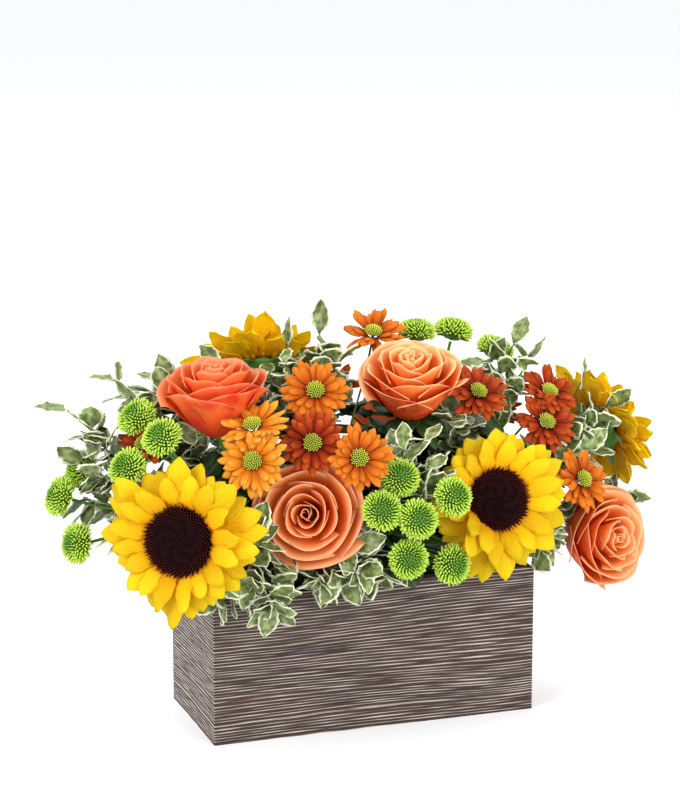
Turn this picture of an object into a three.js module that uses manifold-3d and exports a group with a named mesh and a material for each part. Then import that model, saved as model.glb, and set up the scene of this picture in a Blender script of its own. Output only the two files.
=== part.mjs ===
// Floral table centerpiece: a low wooden box with a plastic liner and wet floral foam, filled with
// sunflowers, roses, daisy mums, button mums and variegated foliage. Millimetres, +Z up. The origin
// is the centre of the box's underside, +X runs along the box and the front faces -Y.
import * as THREE from 'three';
import { mergeVertices } from 'three/addons/utils/BufferGeometryUtils.js';
import Module from 'manifold-3d';

const wasm = await Module();
wasm.setup();
const { Manifold, Mesh: SolidMesh } = wasm;

// ---------------------------------------------------------------- driving dimensions

const BOX = { length: 228.6, width: 101.6, height: 101.6, board: 8, floor: 6, glue: 0.3 };
const LINER = { wall: 1.2, play: 0.3, lip: 4.5, lipThickness: 1.2 };
const FOAM = { play: 2, rise: 19, bevel: 9 };
const CLEAR = 0.35; // air kept between two pieces
const FINEST = 0.03; // smallest detail kept where two surfaces cross
const HOLE_SIDES = 5;

const SUNFLOWER = {
  petals: 8, length: 34, width: 17, thickness: 1.1, lifts: [24, 4], curls: [-22, -14],
  wave: 0.5, bracts: 6, bractLength: 17, bractWidth: 10, bractThickness: 0.9, stem: 3.6,
};
const ROSE = {
  base: 9, thickness: 0.9, hipSides: 5, stem: 2.4,
  // petals in a layer, radius at the rim, foot, height and curl of the rim, the petal's span in
  // degrees, and the corners of its net
  layers: [
    { count: 3, rim: 11, low: 9, height: 37, curl: 0.5, span: 116, across: 2, rows: [0, 1] },
    { count: 3, rim: 21, low: 5, height: 36, curl: 3.5, span: 116, across: 3, rows: [0, 0.62, 1] },
    { count: 4, rim: 31, low: 1, height: 30, curl: 7, span: 87, across: 2, rows: [0, 0.62, 1] },
  ],
};
const DAISY = { petals: 6, length: 18.5, width: 8.2, thickness: 1, lifts: [22, 2], eye: 5.8, stem: 1.4 };
const BUTTON = { radius: 13.2, flatness: 0.8, spike: 2.6, stem: 1.5 };
const LEAF = {
  length: 25, thickness: 0.9, wave: 1.2, shape: [[0.38, 13.5], [0.76, 10]], // width at shares of the length
};
const FOLIAGE_STEM = 1.5;
const FOLIAGE_TWIG = 0.9;
const STEM_STRIDE = 26; // length of a straight piece of a bent stem

const COLOURS = {
  wood: 0x5f4a40, liner: 0x151515, foam: 0x2f5a2a, sunflower: 0xfcc814, sunflowerDisc: 0x22030a,
  rose: 0xf58a3c, daisy: 0xf08a1e, daisyRed: 0xb8381a, daisyGold: 0xfdb52b,
  button: 0x8cc63a, stem: 0x4e7a2c, foliage: 0x7e9a6a,
};

// Blooms: centre in mm, heading in degrees from the front (-Y) towards +X, lift above level.
const SUNFLOWERS = [
  { name: 'front_left', at: [-144, -80, 153], heading: -38, lift: 8, disc: 22.5 },
  { name: 'front_right', at: [78, -70, 158], heading: 0, lift: 12, disc: 20.5 },
  { name: 'back_left', at: [-48, 52, 229], heading: 168, lift: 38, disc: 20 },
  { name: 'right_end', at: [189, 10, 181], heading: 112, lift: 22, disc: 20 },
];
// A rose's centre is the middle of its rim.
const ROSES = [
  { name: 'upper_left', at: [-109, -38, 255], heading: -50, lift: 82, turn: 10 },
  { name: 'upper_middle', at: [30, -34, 251], heading: -19, lift: 70, turn: 50 },
  { name: 'front_middle', at: [-60, -82, 163], heading: -24, lift: 14, turn: 90 },
  { name: 'right', at: [180, -47, 115], heading: 22, lift: 8, turn: 30 },
  { name: 'back_right', at: [62, 78, 184], heading: 172, lift: 20, turn: 70 },
];
// Daisies that touch are one body, and each spray's stems carry the eyes.
const DAISY_SPRAYS = [
  {
    name: 'left',
    heads: [
      { body: 'left_gold', at: [-98, -90, 204], heading: -25, lift: 24, colour: 'daisyGold' },
      { body: 'left_gold', at: [-92, -71, 222], heading: -40, lift: 58, colour: 'daisyGold' },
      { body: 'far_left_red', at: [-149, -14, 201], heading: -60, lift: 50, colour: 'daisyRed' },
    ],
  },
  {
    name: 'middle',
    heads: [
      { body: 'middle_upper', at: [-44, -54, 238], heading: -19, lift: 34, colour: 'daisy' },
      { body: 'middle_lower', at: [-52, -72, 208], heading: -19, lift: 22, colour: 'daisyRed' },
      { body: 'front_middle', at: [-25, -86, 199], heading: -10, lift: 22, colour: 'daisy' },
      { body: 'top_middle', at: [24, 25, 256], heading: -10, lift: 60, colour: 'daisy' },
    ],
  },
  {
    name: 'right',
    heads: [
      { body: 'right_red', at: [80, -28, 222], heading: 10, lift: 46, colour: 'daisyRed' },
      { body: 'far_right_red', at: [141, -8, 213], heading: 20, lift: 52, colour: 'daisyRed' },
      { body: 'far_right_red', at: [132, -25, 196], heading: 8, lift: 40, colour: 'daisyRed' },
      { body: 'right_end', at: [148, -52, 161], heading: 20, lift: 28, colour: 'daisy' },
    ],
  },
  {
    name: 'back',
    heads: [
      { body: 'back_middle', at: [8, 70, 208], heading: 182, lift: 34, colour: 'daisy' },
      { body: 'back_right', at: [122, 52, 190], heading: 152, lift: 34, colour: 'daisyRed' },
    ],
  },
];
const BUTTON_SPRAYS = [
  { name: 'upper_left', heads: [[-157, -26, 223], [-149, -57, 216], [-170, -50, 196]] },
  { name: 'lower_left', heads: [[-203, 0, 167], [-198, -24, 141], [-186, 12, 181]] },
  { name: 'middle', heads: [[4, -84, 183], [-12, -95, 165], [10, -102, 159], [36, -98, 171]] },
  { name: 'front', heads: [[7, -93, 130], [38, -92, 123]] },
  { name: 'top', heads: [[60, 36, 253], [89, 40, 251], [114, 24, 239]] },
  { name: 'back', heads: [[-98, 66, 168], [-122, 50, 183], [-80, 74, 184]] },
];
const FOLIAGE_SPRAYS = [
  { name: 'right', tips: [[176, -2, 230], [196, -14, 216], [174, -28, 186]] },
  { name: 'far_left', tips: [[-204, -5, 203], [-191, 5, 224], [-186, 5, 161]] },
  { name: 'upper_left', tips: [[-158, 8, 241], [-130, 14, 252], [-165, 0, 224]] },
  { name: 'top_left', tips: [[-97, 25, 257], [-45, 15, 274], [-15, 20, 280], [-7, 5, 258]] },
  {
    name: 'front_left',
    tips: [[-108, -102, 170], [-110, -100, 123], [-93, -105, 104], [-132, -70, 102]],
  },
  {
    name: 'front_middle',
    tips: [[-44, -90, 118], [-20, -98, 127], [-33, -100, 149], [-62, -78, 112], [-1, -78, 108]],
  },
  { name: 'middle', tips: [[10, -78, 217], [-8, -88, 204], [46, -92, 176], [30, -90, 189]] },
  {
    name: 'upper_right',
    tips: [[130, 10, 264], [112, 15, 252], [68, -35, 233], [142, 5, 250]],
  },
  { name: 'lower_right', tips: [[220, 5, 137], [216, -5, 119], [136, -56, 119], [115, -66, 107]] },
  {
    name: 'back',
    tips: [[-30, 82, 158], [22, 88, 140], [110, 74, 140], [-150, 44, 150], [-100, 70, 122]],
  },
];

// ---------------------------------------------------------------- small helpers

const degrees = THREE.MathUtils.degToRad;
const vector = (x, y, z) => new THREE.Vector3(x, y, z);
const point = (list) => new THREE.Vector3(...list);

// A seeded draw, so that every build places every leaf alike.
function seededDraw(seed) {
  let state = seed >>> 0;
  return function draw(low, high) {
    state = (state + 0x6d2b79f5) >>> 0;
    let mixed = Math.imul(state ^ (state >>> 15), 1 | state);
    mixed = (mixed + Math.imul(mixed ^ (mixed >>> 7), 61 | mixed)) ^ mixed;
    return low + (high - low) * (((mixed ^ (mixed >>> 14)) >>> 0) / 4294967296);
  };
}

function signedVolume(positions, indices) {
  let volume = 0;
  const a = vector(0, 0, 0);
  const b = vector(0, 0, 0);
  const c = vector(0, 0, 0);
  for (let i = 0; i < indices.length; i += 3) {
    a.fromArray(positions, indices[i] * 3);
    b.fromArray(positions, indices[i + 1] * 3);
    c.fromArray(positions, indices[i + 2] * 3);
    volume += a.dot(b.cross(c)) / 6;
  }
  return volume;
}

// A closed three.js geometry becomes a solid whose faces look outwards.
function solidOf(geometry) {
  geometry.deleteAttribute('normal');
  geometry.deleteAttribute('uv');
  const merged = mergeVertices(geometry, 1e-4);
  const positions = merged.attributes.position.array;
  const indices = Array.from(merged.index.array);
  if (signedVolume(positions, indices) < 0) {
    indices.reverse();
  }
  return new Manifold(new SolidMesh({
    numProp: 3,
    vertProperties: new Float32Array(positions),
    triVerts: new Uint32Array(indices),
  }));
}

function geometryOf(solid) {
  const mesh = solid.getMesh();
  const geometry = new THREE.BufferGeometry();
  geometry.setAttribute('position', new THREE.BufferAttribute(mesh.vertProperties, 3));
  geometry.setIndex(new THREE.BufferAttribute(mesh.triVerts, 1));
  geometry.computeVertexNormals();
  return geometry;
}

function geometryFrom(positions, indices) {
  const geometry = new THREE.BufferGeometry();
  geometry.setAttribute('position', new THREE.Float32BufferAttribute(positions, 3));
  geometry.setIndex(indices);
  return geometry;
}

// What a union leaves loose, and any hollow that it seals, is dropped with the smaller shells.
function largestShell(solid) {
  const shells = solid.decompose();
  shells.sort((a, b) => b.volume() - a.volume());
  return shells[0];
}

// The frame of a bloom: local x to its right, y up its face, z out of its face.
function bloomFrame(at, heading, lift, turn = 0) {
  const h = degrees(heading);
  const e = degrees(lift);
  const right = vector(Math.cos(h), Math.sin(h), 0);
  const out = vector(Math.sin(h) * Math.cos(e), -Math.cos(h) * Math.cos(e), Math.sin(e));
  const up = vector(0, 0, 0).crossVectors(out, right);
  const frame = new THREE.Matrix4().makeBasis(right, up, out);
  frame.setPosition(...at);
  return frame.multiply(turnedBy(turn));
}

const turnedBy = (angle) => new THREE.Matrix4().makeRotationZ(degrees(angle));
const raisedBy = (height) => new THREE.Matrix4().makeTranslation(0, 0, height);

// ---------------------------------------------------------------- clearance between the pieces

// Everything placed so far, under the name of the node that it belongs to.
const placed = [];

function reserve(name, solid) {
  placed.push({ name, solid, box: solid.boundingBox() });
}

function boxesMeet(a, b) {
  return [0, 1, 2].every((k) => a.min[k] - CLEAR < b.max[k] && b.min[k] - CLEAR < a.max[k]);
}

// Whether a new piece of the node `name` touches nothing but that node's own pieces. A planted
// stem may enter the foam as well.
function isClear(solid, name, inFoam = false) {
  const box = solid.boundingBox();
  return placed.every((other) => (
    other.name === name || (inFoam && other.name === 'foam') || !boxesMeet(box, other.box)
    || solid.minGap(other.solid, 2 * CLEAR) >= CLEAR
  ));
}

// The first of the candidates that touches nothing placed before it, or none.
function firstClear(name, tries, make) {
  for (const attempt of tries) {
    const solid = make(attempt);
    if (isClear(solid, name)) {
      return solid;
    }
  }
  return null;
}

// ---------------------------------------------------------------- blades, sheets and tubes

// A skin is a closed surface that is put together corner by corner.
function startSkin() {
  return { corners: [], indices: [] };
}

function addCorners(skin, points) {
  return points.map((p) => skin.corners.push(p) - 1);
}

function addTriangle(skin, a, b, c) {
  skin.indices.push(a, b, c);
}

function addQuad(skin, a, b, c, d) {
  skin.indices.push(a, b, c, a, c, d);
}

function closeSkin(skin) {
  return solidOf(geometryFrom(skin.corners.flatMap((p) => p.toArray()), skin.indices));
}

// A blade grows on the face `foot`, through rings of four corners, to one corner at the tip or to
// two for a blunt tip. The order is lower left, lower right, upper right, upper left, and the
// lower and upper faces are split alike.
function growBlade(skin, foot, { rings, tips }) {
  let [a, b, c, d] = foot;
  rings.forEach((ring) => {
    const [e, f, g, h] = addCorners(skin, ring);
    addQuad(skin, a, b, f, e);
    addQuad(skin, b, c, g, f);
    addQuad(skin, d, h, g, c);
    addQuad(skin, d, a, e, h);
    [a, b, c, d] = [e, f, g, h];
  });
  const ends = addCorners(skin, tips);
  const left = ends[0];
  const right = ends[ends.length - 1];
  addTriangle(skin, b, c, right);
  addTriangle(skin, d, a, left);
  addTriangle(skin, a, b, right);
  addTriangle(skin, c, d, left);
  if (left !== right) {
    addTriangle(skin, a, right, left);
    addTriangle(skin, c, left, right);
  }
}

// The same blade on its own, closed at its foot.
function bladeSolid(foot, shape) {
  const skin = startSkin();
  const [a, b, c, d] = addCorners(skin, foot);
  addQuad(skin, a, d, c, b);
  growBlade(skin, [a, b, c, d], shape);
  return closeSkin(skin);
}

// The four corners of a blade's ring.
function flatRing(centre, side, rise) {
  const low = centre.clone().sub(rise);
  const high = centre.clone().add(rise);
  return [low.clone().sub(side), low.clone().add(side), high.clone().add(side), high.clone().sub(side)];
}

// A petal grows along +X from its root. Its line starts `lift` degrees above the XY plane and bends
// by `curl` degrees on its way to the tip. `wave` raises one margin and lowers the other. Seen from
// above, its sides stay within `room` degrees of its middle.
function petal({ root, length, thickness, lift, curl, shape, tip = 0, wave = 0, room = 80 }, frame) {
  const line = (t) => {
    const along = vector(root, 0, 0);
    const steps = 4;
    for (let k = 0; k < steps; k += 1) {
      const angle = degrees(lift + curl * t * ((k + 0.5) / steps));
      const stride = (length * t) / steps;
      along.add(vector(Math.cos(angle) * stride, 0, Math.sin(angle) * stride));
    }
    return along;
  };
  const rings = shape.map(([t, width], index) => {
    const angle = degrees(lift + curl * t);
    const widest = line(t).x * Math.tan(degrees(room));
    const side = vector(0, Math.min(width / 2, widest), index % 2 ? -wave : wave);
    const rise = vector(-Math.sin(angle), 0, Math.cos(angle)).multiplyScalar(thickness / 2);
    return flatRing(line(t), side, rise).map((corner) => corner.applyMatrix4(frame));
  });
  const aside = tip > 0 ? [-tip / 2, tip / 2] : [0];
  const tips = aside.map((y) => line(1).add(vector(0, y, 0)).applyMatrix4(frame));
  return { rings, tips };
}

// A closed sheet with thickness over a surface point(u, v), u and v from 0 to 1, with corners at
// the given rows of v.
function sheet(surface, across, rows, thickness) {
  const step = 1e-3;
  const up = rows.length - 1;
  const faces = [1, -1].map((sign) => {
    const corners = [];
    for (let j = 0; j <= up; j += 1) {
      for (let i = 0; i <= across; i += 1) {
        const u = i / across;
        const v = rows[j];
        const here = surface(u, v);
        const alongU = surface(u + step, v).sub(surface(u - step, v));
        const alongV = surface(u, v + step).sub(surface(u, v - step));
        const normal = alongU.cross(alongV).normalize();
        corners.push(here.add(normal.multiplyScalar((sign * thickness) / 2)));
      }
    }
    return corners;
  });
  const row = across + 1;
  const back = faces[0].length;
  const indices = [];
  const quad = (a, b, c, d) => indices.push(a, b, c, a, c, d);
  for (let j = 0; j < up; j += 1) {
    for (let i = 0; i < across; i += 1) {
      const a = j * row + i;
      quad(a, a + 1, a + row + 1, a + row);
      indices.push(back + a, back + a + row + 1, back + a + 1);
      indices.push(back + a, back + a + row, back + a + row + 1);
    }
    const left = j * row;
    const right = left + across;
    quad(left, left + row, back + left + row, back + left);
    quad(right + row, right, back + right, back + right + row);
  }
  for (let i = 0; i < across; i += 1) {
    const top = up * row + i;
    quad(i + 1, i, back + i, back + i + 1);
    quad(top, top + 1, back + top + 1, back + top);
  }
  const positions = faces.flat().flatMap((corner) => corner.toArray());
  return solidOf(geometryFrom(positions, indices));
}

// A turned body with its axis along Z and the middle of a flat side towards +X.
function lathe(profile, segments) {
  return new THREE.LatheGeometry(profile.map(([r, z]) => new THREE.Vector2(r, z)), segments)
    .rotateX(Math.PI / 2).rotateZ(Math.PI / 2 - Math.PI / segments);
}

// Florets as relief on a turned dome: every other corner of its net is raised, the rest lowered.
function raiseFlorets(geometry, { around, rings, above, high, low }) {
  const corners = geometry.attributes.position;
  for (let i = 0; i < corners.count; i += 1) {
    const x = corners.getX(i);
    const y = corners.getY(i);
    const ring = Math.round(Math.hypot(x, y) * rings);
    const spoke = Math.round((Math.atan2(y, x) / (2 * Math.PI)) * around - 0.5) + around;
    if (ring > 0 && corners.getZ(i) > above) {
      corners.setZ(i, corners.getZ(i) + ((spoke + ring) % 2 ? high : low));
    }
  }
}

const INSET = 0.1;

// The ring of a crown alone, a little smaller, which keeps its place free until the petals open.
function ringSolid({ count, inner, outer, half }) {
  const hub = [inner + 3 * INSET, 0];
  const rim = outer - INSET;
  return solidOf(lathe([hub, [rim, INSET - half], [rim, half - INSET], hub], count));
}

const TOUCH = 0.001; // mm3, under which two blades of one body only touch where their feet meet
const SLIT = 0.3; // degrees between a petal's side and the edge of its share of the crown

// Whether a blade crosses none of its neighbours on the same body.
function crossesNone(solid, grown) {
  return grown.every((other) => solid.intersect(other).volume() < TOUCH);
}

// A crown of petals: a ring round the axis of a bloom, with a petal on each of its outer faces.
// `choices(k)` lists the shapes that petal k may take, and it takes the first that crosses nothing.
function growCrown(name, { count, inner, outer, half, frame }, choices) {
  const skin = startSkin();
  const step = 360 / count;
  const corner = (k, radius, z) => vector(radius, 0, z).applyMatrix4(turnedBy((k - 0.5) * step));
  const rows = [[inner, 0], [outer, -half], [outer, half]];
  const points = Array.from({ length: count }, (_, k) => rows.map(([r, z]) => corner(k, r, z)));
  const ring = points.map((trio) => addCorners(skin, trio));
  const grown = [];
  ring.forEach(([hub, low, high], k) => {
    const next = (k + 1) % count;
    const [nextHub, nextLow, nextHigh] = ring[next];
    addQuad(skin, hub, high, nextHigh, nextHub);
    addQuad(skin, nextHub, nextLow, low, hub);
    const footPoints = [points[k][1], points[next][1], points[next][2], points[k][2]];
    const foot = [low, nextLow, nextHigh, high];
    const shape = choices(k).find((choice) => {
      const solid = bladeSolid(footPoints, choice).transform(frame.elements);
      const fits = isClear(solid, name) && crossesNone(solid, grown);
      if (fits) {
        grown.push(solid);
      }
      return fits;
    });
    if (shape) {
      growBlade(skin, foot, shape);
    } else {
      addQuad(skin, ...foot);
    }
  });
  reserve(name, closeSkin(skin).transform(frame.elements));
}

function tube(curve, radius, sides) {
  const outline = new THREE.Shape();
  for (let k = 0; k < sides; k += 1) {
    const angle = (2 * Math.PI * k) / sides;
    const x = radius * Math.cos(angle);
    const y = radius * Math.sin(angle);
    if (k === 0) {
      outline.moveTo(x, y);
    } else {
      outline.lineTo(x, y);
    }
  }
  outline.closePath();
  const steps = Math.max(1, Math.round(curve.getLength() / STEM_STRIDE));
  return solidOf(new THREE.ExtrudeGeometry(outline, {
    steps, extrudePath: curve, bevelEnabled: false,
  }));
}

// ---------------------------------------------------------------- stems

const FOAM_TOP = BOX.height + FOAM.rise;
const STEM = { depth: 50, above: 20, deepX: 0.4, deepY: 0.22, outX: 0.5, outY: 0.36 };
const TRIES = 90;
const TRY_REACH = 22;
const GOLDEN_ANGLE = 137.5;

const stemHoles = [];

// Sideways steps on a growing spiral, for a stem that looks for a free way.
function spiralOffset(k) {
  const reach = TRY_REACH * Math.sqrt(k / TRIES);
  const angle = degrees(GOLDEN_ANGLE * k);
  return vector(reach * Math.cos(angle), reach * Math.sin(angle), 0);
}

// Where a stem that serves `target` stands in the foam: its deep end and the end of its straight
// part, a little above the foam.
function anchorFor(target, offset) {
  const deep = vector(target.x * STEM.deepX, target.y * STEM.deepY, FOAM_TOP - STEM.depth);
  const top = vector(target.x * STEM.outX, target.y * STEM.outY, FOAM_TOP + STEM.above);
  return { deep: deep.addScaledVector(offset, 0.8), top: top.add(offset) };
}

// A stem: straight up out of the foam, then bent so that it meets `end` along `arrival`.
function stemCurve(deep, top, end, arrival) {
  const curve = new THREE.CurvePath();
  const heading = top.clone().sub(deep).normalize();
  const reach = top.distanceTo(end) * 0.36;
  curve.add(new THREE.LineCurve3(deep, top));
  curve.add(new THREE.CubicBezierCurve3(
    top,
    top.clone().addScaledVector(heading, reach),
    end.clone().addScaledVector(arrival, -reach),
    end,
  ));
  return curve;
}

// A stem in the foam that touches nothing, with the plain hole that it stands in.
function plantStem(name, end, arrival, radius, sides) {
  for (let k = 0; k < TRIES; k += 1) {
    const { deep, top } = anchorFor(end, spiralOffset(k));
    const solid = tube(stemCurve(deep, top, end, arrival), radius, sides);
    if (isClear(solid, name, true)) {
      const heading = top.clone().sub(deep).normalize();
      const bottom = deep.clone().addScaledVector(heading, -CLEAR);
      const holeRadius = (radius + CLEAR) / Math.cos(Math.PI / HOLE_SIDES);
      stemHoles.push(tube(new THREE.LineCurve3(bottom, top), holeRadius, HOLE_SIDES));
      reserve(name, solid);
      return true;
    }
  }
  return false;
}

// The free ways of a twig from the fork of a spray to its end, the straightest first.
function* freeWays(name, fork, start, end, arrival, radius, sides) {
  const reach = fork.distanceTo(end) * 0.36;
  for (let k = 0; k < TRIES; k += 1) {
    const aside = spiralOffset(k).multiplyScalar(1.6);
    const curve = new THREE.CubicBezierCurve3(
      fork,
      fork.clone().addScaledVector(start, reach).add(aside),
      end.clone().addScaledVector(arrival, -reach).addScaledVector(aside, 0.4),
      end,
    );
    if (isClear(tube(curve, radius, sides), name)) {
      yield curve;
    }
  }
}

function growTwig(name, fork, start, end, arrival, radius, sides) {
  const [curve] = freeWays(name, fork, start, end, arrival, radius, sides);
  if (!curve) {
    throw new Error(`no free way for a twig of ${name} to ${end.toArray()}`);
  }
  reserve(name, tube(curve, radius, sides));
}

// ---------------------------------------------------------------- finished nodes

const centerpiece = new THREE.Group();
centerpiece.name = 'floral_centerpiece';

function addMesh(name, geometry, colour, look = { roughness: 0.6, metalness: 0 }) {
  const material = new THREE.MeshStandardMaterial({ color: COLOURS[colour], ...look });
  const mesh = new THREE.Mesh(geometry, material);
  mesh.name = name;
  centerpiece.add(mesh);
  return mesh;
}

// The pieces reserved for one node become one body. Its mesh stands at `frame`, the place and turn
// of the bloom.
function fuse(name, colour, frame = new THREE.Matrix4()) {
  const pieces = [];
  for (let k = placed.length - 1; k >= 0; k -= 1) {
    if (placed[k].name === name) {
      pieces.push(...placed.splice(k, 1).map((entry) => entry.solid));
    }
  }
  const solid = largestShell(Manifold.union(pieces)).simplify(FINEST);
  reserve(name, solid);
  const mesh = addMesh(name, geometryOf(solid.transform(frame.clone().invert().elements)), colour);
  frame.decompose(mesh.position, mesh.quaternion, mesh.scale);
}

// ---------------------------------------------------------------- box, liner and foam

const innerLength = BOX.length - 2 * BOX.board;
const innerWidth = BOX.width - 2 * BOX.board;

// A side board stands on end, its ends mitred to meet its neighbours.
function sideBoard(name, outer, inner) {
  const plan = new THREE.Shape([...outer, ...inner].map(([x, y]) => new THREE.Vector2(x, y)));
  const geometry = new THREE.ExtrudeGeometry(plan, { depth: BOX.height, bevelEnabled: false });
  addMesh(name, geometry, 'wood', { roughness: 0.75, metalness: 0 });
}

function buildBox() {
  const x = BOX.length / 2;
  const y = BOX.width / 2;
  const b = BOX.board;
  sideBoard('box_front_board', [[-x, -y], [x, -y]], [[x - b, -y + b], [-x + b, -y + b]]);
  sideBoard('box_right_board', [[x, -y], [x, y]], [[x - b, y - b], [x - b, -y + b]]);
  sideBoard('box_back_board', [[x, y], [-x, y]], [[-x + b, y - b], [x - b, y - b]]);
  sideBoard('box_left_board', [[-x, y], [-x, -y]], [[-x + b, -y + b], [-x + b, y - b]]);
  const floor = new THREE.BoxGeometry(innerLength - 2 * BOX.glue, innerWidth - 2 * BOX.glue, BOX.floor);
  floor.translate(0, 0, BOX.floor / 2);
  addMesh('box_bottom_board', floor, 'wood', { roughness: 0.75, metalness: 0 });
}

function block(length, width, low, high) {
  return solidOf(new THREE.BoxGeometry(length, width, high - low).translate(0, 0, (low + high) / 2));
}

// An open tray on the bottom board, its lip lying on the top edge of the boards.
function buildLiner() {
  const length = innerLength - 2 * LINER.play;
  const width = innerWidth - 2 * LINER.play;
  const top = BOX.height + LINER.lipThickness;
  const lip = 2 * (LINER.lip + LINER.play);
  const tray = block(length, width, BOX.floor, top);
  const rim = block(length + lip, width + lip, BOX.height, top);
  const hollow = block(length - 2 * LINER.wall, width - 2 * LINER.wall, BOX.floor + LINER.wall, top + 1);
  const liner = Manifold.union([tray, rim]).subtract(hollow);
  addMesh('liner', geometryOf(liner), 'liner', { roughness: 0.3, metalness: 0 });
  reserve('liner', liner);
}

// The boards count as one block for the clearance of leaves and petals that hang over the rim.
function reserveBox() {
  const outside = block(BOX.length, BOX.width, 0, BOX.height);
  const hollow = block(innerLength, innerWidth, BOX.floor, BOX.height + 1);
  reserve('boards', outside.subtract(hollow));
}

const foamLength = innerLength - 2 * (LINER.play + LINER.wall + FOAM.play);
const foamWidth = innerWidth - 2 * (LINER.play + LINER.wall + FOAM.play);

// The brick of foam, its upper edges cut off at a slant.
function foamBrick() {
  const low = BOX.floor + LINER.wall;
  const geometry = new THREE.BoxGeometry(foamLength, foamWidth, 2, 1, 1, 2);
  const corners = geometry.attributes.position;
  for (let i = 0; i < corners.count; i += 1) {
    const level = Math.round(corners.getZ(i)) + 1;
    const shrink = level === 2 ? FOAM.bevel : 0;
    corners.setX(i, Math.sign(corners.getX(i)) * (foamLength / 2 - shrink));
    corners.setY(i, Math.sign(corners.getY(i)) * (foamWidth / 2 - shrink));
    corners.setZ(i, [low, FOAM_TOP - FOAM.bevel, FOAM_TOP][level]);
  }
  return solidOf(geometry);
}

function buildFoam() {
  const foam = largestShell(foamBrick().subtract(Manifold.union(stemHoles))).simplify(FINEST);
  addMesh('floral_foam', geometryOf(foam), 'foam', { roughness: 0.95, metalness: 0 });
}

// ---------------------------------------------------------------- sunflowers

// How a petal in the way of something is bent: added lift in degrees, share of its length.
const BENDS = [[0, 1], [10, 1], [-10, 1], [22, 1], [-22, 1], [36, 0.95], [-36, 0.95], [0, 0.78],
  [16, 0.75], [-16, 0.75], [50, 0.85], [60, 0.7]];

// The ring that the petals grow from lies between the disc and the green back.
function sunflowerRing({ disc }) {
  return { count: 2 * SUNFLOWER.petals, inner: disc - 6, outer: disc + 0.5, half: 0.9 };
}

// Every other petal stands higher, in front of its neighbours.
function growSunflowerPetals(name, { disc, frame, draw }) {
  growCrown(name, { ...sunflowerRing({ disc }), frame }, (k) => {
    const layer = k % 2;
    const aside = draw(-1, 1);
    const angle = (k * 180) / SUNFLOWER.petals + aside;
    const length = SUNFLOWER.length * draw(0.9, 1.08);
    const width = SUNFLOWER.width * draw(0.9, 1.03);
    const lift = SUNFLOWER.lifts[layer] + draw(-5, 5);
    const curl = SUNFLOWER.curls[layer] + draw(-10, 10);
    return BENDS.map(([bend, share]) => petal({
      root: disc,
      length: length * share,
      thickness: SUNFLOWER.thickness,
      lift: lift + bend,
      curl,
      shape: [[0.3, width * 0.66], [0.64, width]],
      wave: SUNFLOWER.wave,
      room: 90 / SUNFLOWER.petals - Math.abs(aside) - SLIT,
    }, turnedBy(angle)));
  });
}

// The dark disc: a flattened dome whose surface is a net of raised florets.
function sunflowerDisc({ disc }) {
  const bottom = 1.4;
  const profile = [[0, bottom], [disc - 0.4, bottom], [disc, 3.6], [disc * 0.8, 5.6], [disc * 0.56, 5.9],
    [disc * 0.3, 4.9], [0, 4]];
  const around = 12;
  const geometry = lathe(profile, around);
  raiseFlorets(geometry, { around, rings: 4 / disc, above: 2, high: 0.9, low: -0.5 });
  return solidOf(geometry);
}

// The green back of the bloom. A boss in the middle carries the disc.
function sunflowerBack({ disc }) {
  const boss = disc - 9;
  return solidOf(lathe([[0, 1.05], [boss, 1.05], [boss, -1.4], [disc, -1.4], [disc - 3, -5.5],
    [4.5, -10], [0, -10]], SUNFLOWER.bracts));
}

// A bract's foot is a small face sunk into the green back.
function growBracts(name, { disc, frame, draw }) {
  for (let k = 0; k < SUNFLOWER.bracts; k += 1) {
    const angle = (k * 360) / SUNFLOWER.bracts + draw(-4, 4);
    const lift = draw(-34, -22);
    const length = SUNFLOWER.bractLength * draw(0.85, 1.1);
    const turned = frame.clone().multiply(turnedBy(angle)).multiply(raisedBy(-3.4));
    const root = disc - 4;
    const foot = flatRing(vector(root, 0, 0), vector(0, 2.5, 0), vector(0, 0, 0.6));
    const grown = firstClear(name, [0, -15, -30, -45], (bend) => bladeSolid(foot, petal({
      root,
      length,
      thickness: SUNFLOWER.bractThickness,
      lift: lift + bend,
      curl: 24,
      shape: [[0.42, SUNFLOWER.bractWidth]],
    }, new THREE.Matrix4())).transform(turned.elements));
    if (grown) {
      reserve(name, grown);
    }
  }
}

// ---------------------------------------------------------------- roses

// One petal of a layer as a surface: it wraps `span` degrees round the axis from `angle`, and one
// of its sides lies outside its neighbour, as the petals of a rose spiral round each other.
function rosePetalSurface(layer, angle, grow) {
  const half = degrees(layer.span) / 2;
  return (u, v) => {
    const across = 2 * u - 1;
    const round = Math.sin(Math.min(Math.max(v, 0), 1) * Math.PI * 0.5);
    const curl = layer.curl * Math.max(v - 0.6, 0) * 2.5;
    const radius = 5 + (layer.rim * grow - 5) * round ** 0.8 + curl + across * 1.6 * v;
    const height = layer.low + (layer.height - layer.low) * v * (1 - 0.2 * across ** 2 * v) - curl * 0.6;
    const turn = degrees(angle) + across * half;
    return vector(radius * Math.cos(turn), radius * Math.sin(turn), height);
  };
}

const ROSE_TRIES = [1, 0.93, 0.86, 0.78, 0.7];

function growRosePetals(name, { frame, draw }) {
  const core = solidOf(lathe([[0, -2], [6, -1], [ROSE.base, 4], [6, 9], [3.4, 32], [0, 35]], 6));
  reserve(name, core.transform(frame.elements));
  ROSE.layers.forEach((layer) => {
    const start = draw(0, 360);
    for (let k = 0; k < layer.count; k += 1) {
      const angle = start + (k * 360) / layer.count + draw(-6, 6);
      const grown = firstClear(name, ROSE_TRIES, (grow) => (
        sheet(rosePetalSurface(layer, angle, grow), layer.across, layer.rows, ROSE.thickness)
          .transform(frame.elements)
      ));
      if (grown) {
        reserve(name, grown);
      }
    }
  });
}

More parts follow.
